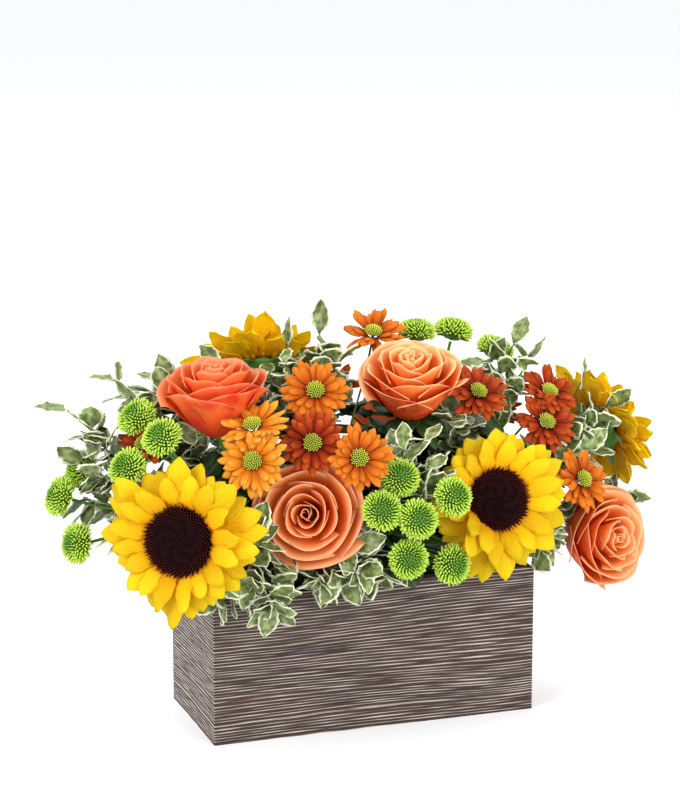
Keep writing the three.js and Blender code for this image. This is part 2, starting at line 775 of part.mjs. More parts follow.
// The green hip below the bloom.
function roseHip() {
  return solidOf(lathe([[0, -2.4], [5.6, -2.6], [6.4, -6], [2.4, -15], [0, -15]], ROSE.hipSides));
}

// ---------------------------------------------------------------- daisy mums

const DAISY_BENDS = [[0, 1], [12, 1], [-12, 1], [26, 1], [-26, 1], [42, 0.95], [-40, 0.9], [58, 0.85],
  [10, 0.78], [-10, 0.78], [70, 0.7]];

const DAISY_RING = { count: 2 * DAISY.petals, inner: 2.9, outer: 6.4, half: 0.9 };

function growDaisyPetals(name, { frame, draw }) {
  growCrown(name, { ...DAISY_RING, frame }, (k) => {
    const aside = draw(-1.5, 1.5);
    const angle = (k * 180) / DAISY.petals + aside;
    const length = DAISY.length * draw(0.92, 1.08);
    const lift = DAISY.lifts[k % 2] + draw(-5, 5);
    const curl = draw(-24, -6);
    return DAISY_BENDS.map(([bend, share]) => petal({
      root: 4.6,
      length: length * share,
      thickness: DAISY.thickness,
      lift: lift + bend,
      curl,
      shape: [[0.62, DAISY.width]],
      tip: DAISY.width * 0.6,
      room: 90 / DAISY.petals - Math.abs(aside) - SLIT,
    }, turnedBy(angle)));
  });
}

// The eye above the petals, with the stalk that passes through their ring.
function daisyEye() {
  const eye = DAISY.eye;
  const profile = [[0, 4.6], [eye, 2.8], [eye - 0.2, 1.35], [1.6, 1.35], [1.6, -1.4], [0, -6]];
  const around = 6;
  const geometry = lathe(profile, around);
  raiseFlorets(geometry, { around, rings: 1 / eye, above: 2, high: 0.6, low: -0.4 });
  return solidOf(geometry);
}

// ---------------------------------------------------------------- button mums

// A flattened ball covered with short florets, each a three-sided point on a face of the ball.
function buttonHead(at, axis, draw) {
  const ball = new THREE.OctahedronGeometry(BUTTON.radius - BUTTON.spike, 1);
  const faces = ball.attributes.position;
  const positions = [];
  for (let i = 0; i < faces.count; i += 3) {
    const [a, b, c] = [0, 1, 2].map((k) => vector(0, 0, 0).fromBufferAttribute(faces, i + k));
    const peak = a.clone().add(b).add(c).normalize();
    if (peak.z > 0) {
      peak.multiplyScalar(BUTTON.radius + draw(-0.6, 0.6));
      [[a, b], [b, c], [c, a]].forEach(([p, q]) => {
        positions.push(...p.toArray(), ...q.toArray(), ...peak.toArray());
      });
    } else {
      positions.push(...a.toArray(), ...b.toArray(), ...c.toArray());
    }
  }
  const geometry = new THREE.BufferGeometry();
  geometry.setAttribute('position', new THREE.Float32BufferAttribute(positions, 3));
  geometry.scale(1, 1, BUTTON.flatness);
  const turn = new THREE.Quaternion().setFromUnitVectors(vector(0, 0, 1), axis);
  const frame = new THREE.Matrix4().compose(at, turn, vector(1, 1, 1));
  return solidOf(geometry).transform(frame.elements);
}

// ---------------------------------------------------------------- foliage

// A twig is a three-sided stem. Leaves stand on its sides, and one more leaf is its tip.
const TWIG_SIDES = 3;
const WHORLS = [{ t: 0.58, count: 2 }, { t: 0.82, count: 1 }]; // t is the place along the twig
const LAST_LEAF = 20; // what the last leaf adds to the length of a twig
const LEAF_BASE = 2.2; // height of a leaf's foot on the twig
const LEAF_OPENINGS = [52, 38, 68, 28, 90]; // tried in turn, in degrees from the twig
const TIP_OPENINGS = [8, 30, -25];

// The frame of a twig at t: its direction and the outward directions of its sides.
function twigFrame(curve, t, turn) {
  const along = curve.getTangent(t);
  const first = vector(0, 0, 0).crossVectors(along, vector(0.36, 0.48, 0.8)).normalize();
  first.applyAxisAngle(along, degrees(turn));
  return { at: curve.getPoint(t), along, first };
}

function twigRing(curve, t, turn) {
  const { at, along, first } = twigFrame(curve, t, turn);
  return Array.from({ length: TWIG_SIDES }, (_, k) => {
    const out = first.clone().applyAxisAngle(along, degrees((k - 0.5) * (360 / TWIG_SIDES)));
    return at.clone().addScaledVector(out, FOLIAGE_TWIG);
  });
}

// The rings and tip of one leaf that grows from `at`, opened by `opening` from the twig's way.
function leafShape({ at, along, out, opening, size, curl }) {
  const across = vector(0, 0, 0).crossVectors(along, out).normalize();
  const reach = LEAF.length * size;
  const place = (share) => {
    const angle = degrees(opening + curl * share * 0.5);
    return at.clone().addScaledVector(along, reach * share * Math.cos(angle))
      .addScaledVector(out, reach * share * Math.sin(angle));
  };
  const rings = LEAF.shape.map(([share, width], k) => {
    const angle = degrees(opening + curl * share);
    const upward = along.clone().multiplyScalar(Math.sin(angle)).addScaledVector(out, -Math.cos(angle));
    const side = across.clone().multiplyScalar((width * size) / 2);
    side.addScaledVector(upward, k % 2 ? -LEAF.wave : LEAF.wave);
    return flatRing(place(share), side, upward.multiplyScalar(LEAF.thickness / 2));
  });
  return { rings, tips: [place(1)] };
}

// A leaf that touches nothing, opened more or less where it must be.
function findLeaf(name, foot, seat, grown, leaves) {
  for (const opening of seat.openings) {
    const shape = leafShape({ ...seat, opening });
    const solid = bladeSolid(foot, shape);
    if (isClear(solid, name) && crossesNone(solid, grown) && crossesNone(solid, leaves)) {
      leaves.push(solid);
      return shape;
    }
  }
  return null;
}

// The twig and its leaves as one closed surface: a leaf takes the place of a stretch of one side.
// `grown` holds the leaves of its neighbours, and its own are added to `leaves`.
function leafyTwig(name, curve, draw, grown, leaves) {
  const skin = startSkin();
  const turn = draw(0, 360);
  const half = LEAF_BASE / 2 / curve.getLength();
  let points = twigRing(curve, 0, turn);
  let ring = addCorners(skin, points);
  addTriangle(skin, ring[2], ring[1], ring[0]);
  // climbs to the place t, with a leaf for each seat given
  const climb = (t, seats = []) => {
    const above = twigRing(curve, t, turn);
    const next = addCorners(skin, above);
    for (let k = 0; k < TWIG_SIDES; k += 1) {
      const right = (k + 1) % TWIG_SIDES;
      const foot = [points[k], points[right], above[right], above[k]];
      const leaf = seats[k] && findLeaf(name, foot, seats[k], grown, leaves);
      if (leaf) {
        growBlade(skin, [ring[k], ring[right], next[right], next[k]], leaf);
      } else {
        addQuad(skin, ring[k], ring[right], next[right], next[k]);
      }
    }
    points = above;
    ring = next;
  };
  climb(0.3);
  WHORLS.forEach(({ t, count }) => {
    const { at, along, first } = twigFrame(curve, t, turn);
    const start = Math.floor(draw(0, TWIG_SIDES));
    const seats = Array.from({ length: TWIG_SIDES }, (_, k) => {
      const size = draw(0.85, 1.12);
      const curl = draw(-10, 34);
      const out = first.clone().applyAxisAngle(along, degrees(k * (360 / TWIG_SIDES)));
      const isBare = (k + start) % TWIG_SIDES >= count;
      return isBare ? null : { at, along, out, size, curl, openings: LEAF_OPENINGS };
    });
    climb(t - half);
    climb(t + half, seats);
  });
  climb(1);
  const { at, along, first } = twigFrame(curve, 1, turn);
  const seat = { at, along, out: first, size: draw(0.8, 1), curl: draw(-25, 25), openings: TIP_OPENINGS };
  const split = points[2].clone().lerp(points[1], 0.5).addScaledVector(first, -0.4);
  const leaf = findLeaf(name, [points[0], points[1], split, points[2]], seat, grown, leaves);
  if (leaf) {
    const [corner] = addCorners(skin, [split]);
    addTriangle(skin, ring[2], corner, ring[1]);
    growBlade(skin, [ring[0], ring[1], corner, ring[2]], leaf);
  } else {
    addTriangle(skin, ring[0], ring[1], ring[2]);
  }
  return closeSkin(skin);
}

// ---------------------------------------------------------------- the arrangement

const skyward = vector(0, 0, 1);

function average(points) {
  const sum = vector(0, 0, 0);
  points.forEach((p) => sum.add(p));
  return sum.divideScalar(points.length);
}

// The point `distance` behind a bloom's centre, where its stem ends.
const behind = (frame, distance) => vector(0, 0, -distance).applyMatrix4(frame);
const outward = (frame) => skyward.clone().transformDirection(frame);

// The main stem of a spray up to its fork, part of the way from the foam to the ends.
function plantSpray(name, ends, highest, radius, sides) {
  const middle = average(ends);
  for (const share of [highest, highest * 0.6, highest * 0.3, highest * 1.4]) {
    const fork = anchorFor(middle, vector(0, 0, 0)).top.lerp(middle, share);
    const arrival = middle.clone().sub(fork).normalize();
    if (plantStem(name, fork, arrival, radius, sides)) {
      return { fork: fork.addScaledVector(arrival, -0.5), arrival };
    }
  }
  throw new Error(`no free way for the stem of ${name}`);
}

// What can't bend comes first, so that petals, twigs and leaves can make way for it.
function placeHeads() {
  ROSES.forEach((rose, index) => {
    rose.draw = seededDraw(201 + index);
    rose.frame = bloomFrame(rose.at, rose.heading, rose.lift, rose.turn).multiply(raisedBy(-34));
    growRosePetals(`rose_${rose.name}_bloom`, rose);
    fuse(`rose_${rose.name}_bloom`, 'rose', rose.frame);
    reserve(`rose_${rose.name}_stem`, roseHip().transform(rose.frame.elements));
  });
  SUNFLOWERS.forEach((flower, index) => {
    flower.draw = seededDraw(101 + index);
    flower.frame = bloomFrame(flower.at, flower.heading, flower.lift);
    reserve(`sunflower_${flower.name}_disc`, sunflowerDisc(flower).transform(flower.frame.elements));
    fuse(`sunflower_${flower.name}_disc`, 'sunflowerDisc', flower.frame);
    const ring = ringSolid(sunflowerRing(flower));
    reserve(`sunflower_${flower.name}_petals`, ring.transform(flower.frame.elements));
    reserve(`sunflower_${flower.name}_stem`, sunflowerBack(flower).transform(flower.frame.elements));
  });
  DAISY_SPRAYS.forEach((spray, number) => spray.heads.forEach((head, index) => {
    head.draw = seededDraw(301 + 10 * number + index);
    head.frame = bloomFrame(head.at, head.heading, head.lift);
    reserve(`daisy_${head.body}_petals`, ringSolid(DAISY_RING).transform(head.frame.elements));
    reserve(`daisy_${spray.name}_stems_and_eyes`, daisyEye().transform(head.frame.elements));
  }));
  BUTTON_SPRAYS.forEach((spray, number) => {
    const draw = seededDraw(401 + number);
    const centres = spray.heads.map(point);
    const middle = average(centres);
    const source = vector(middle.x * 0.5, middle.y * 0.2, FOAM_TOP);
    spray.axes = centres.map((centre) => centre.clone().sub(source).normalize());
    centres.forEach((centre, k) => {
      reserve(`button_${spray.name}_spray`, buttonHead(centre, spray.axes[k], draw));
    });
    spray.ends = centres.map((centre, k) => centre.clone().addScaledVector(spray.axes[k], -6));
  });
}

function plantStems() {
  SUNFLOWERS.forEach(({ name, frame }) => {
    plantStem(`sunflower_${name}_stem`, behind(frame, 9), outward(frame), SUNFLOWER.stem, 5);
  });
  ROSES.forEach(({ name, frame }) => {
    plantStem(`rose_${name}_stem`, behind(frame, 14), outward(frame), ROSE.stem, 4);
    fuse(`rose_${name}_stem`, 'stem');
  });
  DAISY_SPRAYS.forEach((spray) => {
    const name = `daisy_${spray.name}_stems_and_eyes`;
    const ends = spray.heads.map((head) => behind(head.frame, 5.4));
    const { fork, arrival } = plantSpray(name, ends, 0.3, DAISY.stem + 0.5, 4);
    spray.heads.forEach((head, k) => {
      growTwig(name, fork, arrival, ends[k], outward(head.frame), DAISY.stem, 3);
    });
    fuse(name, 'stem');
  });
  BUTTON_SPRAYS.forEach((spray) => {
    const name = `button_${spray.name}_spray`;
    const { fork, arrival } = plantSpray(name, spray.ends, 0.35, BUTTON.stem + 0.4, 4);
    spray.ends.forEach((end, k) => {
      growTwig(name, fork, arrival, end, spray.axes[k], BUTTON.stem, 3);
    });
    fuse(name, 'button');
  });
}

// Petals and bracts bend clear of what is there already.
function openBlooms() {
  DAISY_SPRAYS.forEach((spray) => spray.heads.forEach((head) => {
    growDaisyPetals(`daisy_${head.body}_petals`, head);
  }));
  const bodies = new Map(DAISY_SPRAYS.flatMap(({ heads }) => heads.map((head) => [head.body, head])));
  bodies.forEach((head, body) => fuse(`daisy_${body}_petals`, head.colour, head.frame));
  SUNFLOWERS.forEach((flower) => {
    growSunflowerPetals(`sunflower_${flower.name}_petals`, flower);
    fuse(`sunflower_${flower.name}_petals`, 'sunflower', flower.frame);
    growBracts(`sunflower_${flower.name}_stem`, flower);
    fuse(`sunflower_${flower.name}_stem`, 'stem');
  });
}

function growFoliage() {
  FOLIAGE_SPRAYS.forEach((spray, number) => {
    const name = `foliage_${spray.name}_spray`;
    const draw = seededDraw(501 + number);
    const tips = spray.tips.map(point);
    const { fork, arrival } = plantSpray(name, tips, 0.3, FOLIAGE_STEM, 4);
    const grown = [];
    tips.forEach((tip) => {
      const growth = tip.clone().sub(fork).normalize().addScaledVector(skyward, 0.3).normalize();
      const end = tip.clone().addScaledVector(growth, -LAST_LEAF);
      for (const curve of freeWays(name, fork, arrival, end, growth, FOLIAGE_TWIG, TWIG_SIDES)) {
        const leaves = [];
        const twig = leafyTwig(name, curve, draw, grown, leaves);
        if (isClear(twig, name)) {
          reserve(name, twig);
          grown.push(...leaves);
          break;
        }
      }
    });
    fuse(name, 'foliage');
  });
}

buildBox();
buildLiner();
reserveBox();
reserve('foam', foamBrick());
placeHeads();
plantStems();
openBlooms();
growFoliage();
buildFoam();

export default centerpiece;
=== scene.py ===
"""The looks of a floral table centerpiece in a wooden box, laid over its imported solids."""
import math
from collections import namedtuple
from functools import cache, partialmethod

import bmesh
import bpy
import numpy as np
from bpy.props import FloatProperty, FloatVectorProperty, IntProperty, PointerProperty
from mathutils import Euler, Matrix, Vector
from mathutils.bvhtree import BVHTree


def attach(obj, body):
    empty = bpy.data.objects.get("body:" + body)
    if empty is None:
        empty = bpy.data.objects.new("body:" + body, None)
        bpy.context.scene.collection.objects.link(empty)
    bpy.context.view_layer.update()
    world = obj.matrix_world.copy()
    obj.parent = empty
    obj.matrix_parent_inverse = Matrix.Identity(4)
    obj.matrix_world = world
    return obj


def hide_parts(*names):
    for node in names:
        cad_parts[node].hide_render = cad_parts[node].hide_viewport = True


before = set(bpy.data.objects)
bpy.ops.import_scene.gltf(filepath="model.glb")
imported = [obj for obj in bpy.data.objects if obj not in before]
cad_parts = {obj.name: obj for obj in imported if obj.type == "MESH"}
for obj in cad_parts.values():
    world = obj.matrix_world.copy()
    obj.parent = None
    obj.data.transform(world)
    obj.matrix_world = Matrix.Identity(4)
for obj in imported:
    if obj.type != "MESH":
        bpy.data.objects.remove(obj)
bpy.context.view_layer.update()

bl_info = {
    "name": "Floral Table Centerpiece",
    "version": (1, 0, 0),
    "blender": (4, 5, 0),
    "location": "View3D > Sidebar > Centerpiece",
    "description": "Builds the looks of a boxed flower arrangement, piece by piece",
    "category": "Object",
}

MM = 0.001

# ---- where the blooms stand, in mm

# name: (centre, heading from the front towards +X, lift above level, disc radius)
SUNFLOWERS = {
    "front_left": ((-144, -80, 153), -38, 8, 22.5),
    "front_right": ((78, -70, 158), 0, 12, 20.5),
    "back_left": ((-48, 52, 229), 168, 38, 20),
    "right_end": ((189, 10, 181), 112, 22, 20),
}
# name: (middle of the rim, heading, lift, turn, share of red in its orange)
ROSES = {
    "upper_left": ((-109, -38, 255), -50, 82, 10, 0.9),
    "upper_middle": ((30, -34, 251), -19, 70, 50, 0.0),
    "front_middle": ((-60, -82, 163), -24, 14, 90, 0.3),
    "right": ((180, -47, 115), 22, 8, 30, 0.2),
    "back_right": ((62, 78, 184), 172, 20, 70, 0.4),
}
# spray: heads (body of petals, centre, heading, lift, colour)
DAISIES = {
    "left": (
        ("left_gold", (-98, -90, 204), -25, 24, "gold"),
        ("left_gold", (-92, -71, 222), -40, 58, "gold"),
        ("far_left_red", (-149, -14, 201), -60, 50, "red"),
    ),
    "middle": (
        ("middle_upper", (-44, -54, 238), -19, 34, "orange"),
        ("middle_lower", (-52, -72, 208), -19, 22, "red"),
        ("front_middle", (-25, -86, 199), -10, 22, "orange"),
        ("top_middle", (24, 25, 256), -10, 60, "orange"),
    ),
    "right": (
        ("right_red", (80, -28, 222), 10, 46, "red"),
        ("far_right_red", (141, -8, 213), 20, 52, "red"),
        ("far_right_red", (132, -25, 196), 8, 40, "red"),
        ("right_end", (148, -52, 161), 20, 28, "orange"),
    ),
    "back": (
        ("back_middle", (8, 70, 208), 182, 34, "orange"),
        ("back_right", (122, 52, 190), 152, 34, "red"),
    ),
}
# spray: centres of its heads
BUTTONS = {
    "upper_left": ((-157, -26, 223), (-149, -57, 216), (-170, -50, 196)),
    "lower_left": ((-203, 0, 167), (-198, -24, 141), (-186, 12, 181)),
    "middle": ((4, -84, 183), (-12, -95, 165), (10, -102, 159), (36, -98, 171)),
    "front": ((7, -93, 130), (38, -92, 123)),
    "top": ((60, 36, 253), (89, 40, 251), (114, 24, 239)),
    "back": ((-98, 66, 168), (-122, 50, 183), (-80, 74, 184)),
}
# sprays whose leaves reach out past the blooms
OPEN_SPRAYS = ("foliage_far_left_spray", "foliage_upper_left_spray")

FOAM_TOP = 120.6
BLOOM_MIDDLES = [head[1] for spray in DAISIES.values() for head in spray]
BLOOM_MIDDLES += [head for spray in BUTTONS.values() for head in spray]
BLOOM_MIDDLES += [bloom[0] for bloom in (*SUNFLOWERS.values(), *ROSES.values())]

# ---- sizes of the pieces, in mm

GOLDEN = math.radians(137.50776)  # the turn from one floret of a spiral to the next

SUN_PETALS, SUN_LENGTH, CORE_SINK = 16, 34, 0.9
DISC_DOME = ((0, 0.3, 0.56, 0.8, 0.93, 1), (3.2, 4.4, 5.2, 4.9, 3.9, 2.6))  # height by radius
DAISY_PETALS, DAISY_LENGTH, DAISY_ROOT, DAISY_WIDTH = 12, 18.5, 4.6, 2.9
# the petals added beside each one of the solid: turn, share of its length, lift, half width
DAISY_MORE = ((15, 0.96, 5, 2.6), (8, 0.76, 14, 2.6))
EYE_RADIUS, EYE_TOP, EYE_DROP = 5.6, 4.4, 1.9
ROSE_DEPTH = 34
# a ring of rose petals: how many, rim radius, foot height, height, roll of the rim, half span,
# shift of the start, foot radius
ROSE_RINGS = (
    (3, 3.0, 10, 36.2, 0.0, 1.7, 0.0, 2), (3, 7.0, 8, 37.2, 0.7, 1.5, 0.9, 3),
    (4, 12.4, 6, 37.6, 1.8, 1.25, 0.3, 4.5), (5, 18.8, 1, 36.6, 3.2, 1.05, 0.8, 5.5),
    (5, 25.0, -7, 34.4, 4.6, 1.02, 0.2, 7.2), (5, 30.4, -12, 30.0, 5.6, 1.0, 0.7, 7.6),
)
FREE_RINGS = 3  # the inner rings stand too close to the axis to meet a neighbour
BALL_RADIUS, BALL_SQUASH = 9.6, 0.76
FLORET_RADIUS, FLORET_HEIGHT = 9.8, 7.4
FLORET_BAND = 1.55  # how far down the ball the florets go: 2 would be its foot
HEAD_REACH = 14.2  # CAD corners nearer than this to a button's centre belong to its head

# the ways a CAD petal may have been bent aside: (degrees, share of its length)
SUN_BENDS = ((0, 1), (10, 1), (-10, 1), (22, 1), (-22, 1), (36, 0.95), (-36, 0.95), (0, 0.78),
             (16, 0.75), (-16, 0.75), (50, 0.85), (60, 0.7))
DAISY_BENDS = ((0, 1), (12, 1), (-12, 1), (26, 1), (-26, 1), (42, 0.95), (-40, 0.9), (58, 0.85),
               (10, 0.78), (-10, 0.78), (70, 0.7))

BEND_MATCH = 1.6  # a bend fits a CAD petal when its line lies this near

# room that a grown blade keeps from the solids
PETAL_ROOM, LEAF_ROOM, INNER_ROOM = 1.2, 1.3, 1.5
BLOOM_ROOM = 19  # from a bloom's middle to the foot of an inner leaf
BOUQUET_HALF, BOUQUET_LEVEL = (172, 84, 128), 105  # half axes and level of its ellipsoid
RIM_LEVEL = 146  # inner leaves that stand lower lean out over the box
INNER_FLOOR, LEAF_FLOOR = 103, 80  # the lowest that a leaf may hang

# CAD leaves: the least and greatest thickness and the least width that tell one from a twig
LEAF_THIN, LEAF_THICK, LEAF_NARROW = 0.5, 1.5, 5
LEAF_MIDDLES = (0.38, 0.76)  # where along a leaf its two middle rings of corners lie
# added leaves: how many to a whorl, whorls down the twig, their turn in degrees, and distances
WHORL, WHORLS, WHORL_TURN, WHORL_STEP, LEAF_SPACING, TWIG_NEAR = 3, 8, 62, 6.5, 6.5, 5
TWIG_RADIUS, TWIG_DIAGONAL = 0.45, 2.55

# half width across a blade, along its length
OUTLINES = {
    "ray": [(0, 0.45), (0.2, 0.75), (0.42, 1), (0.66, 0.95), (0.84, 0.66), (0.95, 0.32), (1, 0.05)],
    "spoon": [(0, 0.4), (0.3, 0.72), (0.62, 1), (0.82, 0.88), (0.94, 0.52), (1, 0.14)],
    "leaf": [(0, 0.1), (0.12, 0.38), (0.36, 0.95), (0.55, 1), (0.78, 0.72), (0.93, 0.32),
             (1, 0.04)],
}

# where each piece's random draws start; the first two are those that the solids' petals had
RAY_SEED, DAISY_SEED = 101, 301
DISC_SEED, ROSE_SEED, RAY_DETAIL_SEED, DAISY_DETAIL_SEED = 11, 701, 901, 1301
BUTTON_SEED, LEAF_SEED, OPEN_LEAF_SEED, SPRIG_LEAF_SEED = 1401, 1501, 2001, 1901
STEM_DARK_SEED, DAISY_DARK_SEED, BUTTON_DARK_SEED, RIM_DARK_STEP = 1601, 1701, 1801, 400

# ---- small helpers


def seeded_draw(seed):
    """The same seeded draw that placed the solids' petals."""
    state = seed & 0xFFFFFFFF

    def imul(a, b):
        return (a * b) & 0xFFFFFFFF

    def draw(low, high):
        nonlocal state
        state = (state + 0x6D2B79F5) & 0xFFFFFFFF
        mixed = imul(state ^ (state >> 15), 1 | state)
        mixed = ((mixed + imul(mixed ^ (mixed >> 7), 61 | mixed)) & 0xFFFFFFFF) ^ mixed
        return low + (high - low) * ((mixed ^ (mixed >> 14)) & 0xFFFFFFFF) / 4294967296

    return draw


def bloom_frame(at, heading, lift, turn=0):
    """The frame of a bloom: x to its right, y up its face, z out of its face."""
    h, e = math.radians(heading), math.radians(lift)
    right = Vector((math.cos(h), math.sin(h), 0))
    out = Vector((math.sin(h) * math.cos(e), -math.cos(h) * math.cos(e), math.sin(e)))
    m = Matrix((right, out.cross(right), out)).transposed().to_4x4()
    m.translation = Vector(at)
    return m @ turned(turn)


def turned(angle):
    """A turn round z, in degrees."""
    return Matrix.Rotation(math.radians(angle), 4, "Z")


def spoke(angle, radius, height=0.0):
    """A point round the z axis, its angle in radians."""
    return Vector((math.cos(angle) * radius, math.sin(angle) * radius, height))


def spiral(total):
    """The share of the radius and the angle of each floret, from the middle outwards."""
    return [(math.sqrt((k + 0.5) / total), k * GOLDEN) for k in range(total)]


def linear(code):
    """An sRGB hex colour as linear RGBA."""
    out = []
    for k in (1, 3, 5):
        c = int(code[k:k + 2], 16) / 255
        out.append(c / 12.92 if c <= 0.04045 else ((c + 0.055) / 1.055) ** 2.4)
    return (*out, 1)


def rgba(colour):
    """Linear RGBA of a hex code or of a colour property."""
    return linear(colour) if isinstance(colour, str) else (*colour[:3], 1)


def welded(node):
    """Corners in mm and triangles of a CAD node, its split corners joined."""
    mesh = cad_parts[node].data
    mesh.calc_loop_triangles()
    co = np.array([v.co for v in mesh.vertices]) / MM
    keys, inverse = np.unique(co.round(3), axis=0, return_inverse=True)
    inverse = inverse.reshape(-1)
    tris = inverse[np.array([t.vertices for t in mesh.loop_triangles])]
    good = (tris[:, 0] != tris[:, 1]) & (tris[:, 1] != tris[:, 2]) & (tris[:, 0] != tris[:, 2])
    return keys, tris[good]


def tree_of(nodes):
    """A search tree over several CAD nodes, in mm."""
    corners, faces = [], []
    for node in nodes:
        co, tris = welded(node)
        faces.extend((tris + len(corners)).tolist())
        corners.extend(map(tuple, co))
    return BVHTree.FromPolygons(corners, faces)


def obstacles(*own):
    """A search tree over every CAD node but the named ones, in mm."""
    return tree_of([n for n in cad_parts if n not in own])


@cache
def everything_tree():
    """One search tree over every CAD node, made once."""
    return obstacles()


def room(tree, points):
    """How near the closest of the points comes to the tree's solids."""
    return min(tree.find_nearest(p)[3] for p in points)


def new_object(name, data):
    """An object in the scene with the given mesh, lamp or camera."""
    obj = bpy.data.objects.new(name, data)
    bpy.context.scene.collection.objects.link(obj)
    return obj


def mesh_from(name, corners, faces):
    """A smooth mesh from corners in mm."""
    mesh = bpy.data.meshes.new(name)
    mesh.from_pydata([tuple(c * MM for c in co) for co in corners], [],
                     [tuple(map(int, f)) for f in faces])
    mesh.update()
    mesh.polygons.foreach_set("use_smooth", [True] * len(mesh.polygons))
    return mesh


def evaluated(obj):
    """The mesh that an object's modifier makes; the object itself is deleted."""
    graph = bpy.context.evaluated_depsgraph_get()
    mesh = bpy.data.meshes.new_from_object(obj.evaluated_get(graph), depsgraph=graph)
    bpy.data.objects.remove(obj)
    return mesh


def painted(mesh, mat):
    """The mesh, all in one material."""
    mesh.materials.clear()
    mesh.materials.append(mat)
    return mesh


def cad_rest(node, mat, tris=None):
    """The CAD node's mesh, or only the given triangles of it, rounded off and in one material."""
    co, whole = welded(node)
    mesh = mesh_from(node + "_rest", co, whole if tris is None else tris)
    obj = new_object(node + "_rounding", mesh)
    mod = obj.modifiers.new("round", "SUBSURF")
    mod.levels = mod.render_levels = 1
    return painted(evaluated(obj), mat)


def joined(name, meshes):
    """One object of several meshes, each with its own material."""
    bm = bmesh.new()
    materials = []
    for mesh in meshes:
        slots = []
        for mat in mesh.materials:
            if mat not in materials:
                materials.append(mat)
            slots.append(materials.index(mat))
        start = len(bm.faces)
        bm.from_mesh(mesh)
        bm.faces.ensure_lookup_table()
        for face in bm.faces[start:]:
            face.material_index = slots[min(face.material_index, len(slots) - 1)]
    out = bpy.data.meshes.new(name)
    bm.to_mesh(out)
    bm.free()
    for mat in materials:
        out.materials.append(mat)
    return new_object(name, out)


def finished(obj, node):
    """Hands a piece over: it stands for its CAD node."""
    if not len(obj.data.polygons):
        raise RuntimeError(f"{obj.name} came out empty")
    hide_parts(node)
    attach(obj, "root")


# ---- formulas as node trees


def add(tree, kind, inputs=None, **settings):
    """Adds a node with its settings, values and links, and gives back the node."""
    node = tree.nodes.new(kind)
    for key, value in settings.items():
        setattr(node, key, value)
    for key, value in (inputs or {}).items():
        if isinstance(value, Field):
            tree.links.new(value.socket, node.inputs[key])
        else:
            node.inputs[key].default_value = value
    return node


class Field:
    """A result in a node tree. Formulas of such results are written with + - * / and **."""

    def __init__(self, tree, socket):
        self.tree, self.socket = tree, socket

    def math(self, operation, *others):
        node = add(self.tree, "ShaderNodeMath", dict(enumerate((self, *others))),
                   operation=operation)
        return Field(self.tree, node.outputs[0])

    def vector(self, operation, *others):
        keys = (0, "Scale") if operation == "SCALE" else (0, 1)
        node = add(self.tree, "ShaderNodeVectorMath", dict(zip(keys, (self, *others))),
                   operation=operation)
        return Field(self.tree, node.outputs[0])

    __add__ = partialmethod(math, "ADD")
    __sub__ = partialmethod(math, "SUBTRACT")
    __mul__ = partialmethod(math, "MULTIPLY")
    __truediv__ = partialmethod(math, "DIVIDE")
    __pow__ = partialmethod(math, "POWER")
    sin = partialmethod(math, "SINE")
    cos = partialmethod(math, "COSINE")
    abs = partialmethod(math, "ABSOLUTE")
    scaled = partialmethod(vector, "SCALE")
    plus = partialmethod(vector, "ADD")
    minus = partialmethod(vector, "SUBTRACT")
    cross = partialmethod(vector, "CROSS_PRODUCT")
    unit = partialmethod(vector, "NORMALIZE")

    def __rsub__(self, other):
        return self.math("MULTIPLY", -1.0).math("ADD", other)

    def clamped(self):
        """The same result, held between 0 and 1."""
        self.socket.node.use_clamp = True
        return self


class Formulas:
    """What geometry trees and material trees share."""

    def made(self, kind, inputs=None, out=0, **settings):
        """One result of a new node."""
        return Field(self.tree, add(self.tree, kind, inputs, **settings).outputs[out])

    def parts(self, vector):
        """The x, y and z of a vector."""
        node = add(self.tree, "ShaderNodeSeparateXYZ", {"Vector": vector})
        return [Field(self.tree, socket) for socket in node.outputs]

    def attributes(self, *names):
        """Values that were stored on the points or on the net."""
        return [self.attribute(name) for name in names]


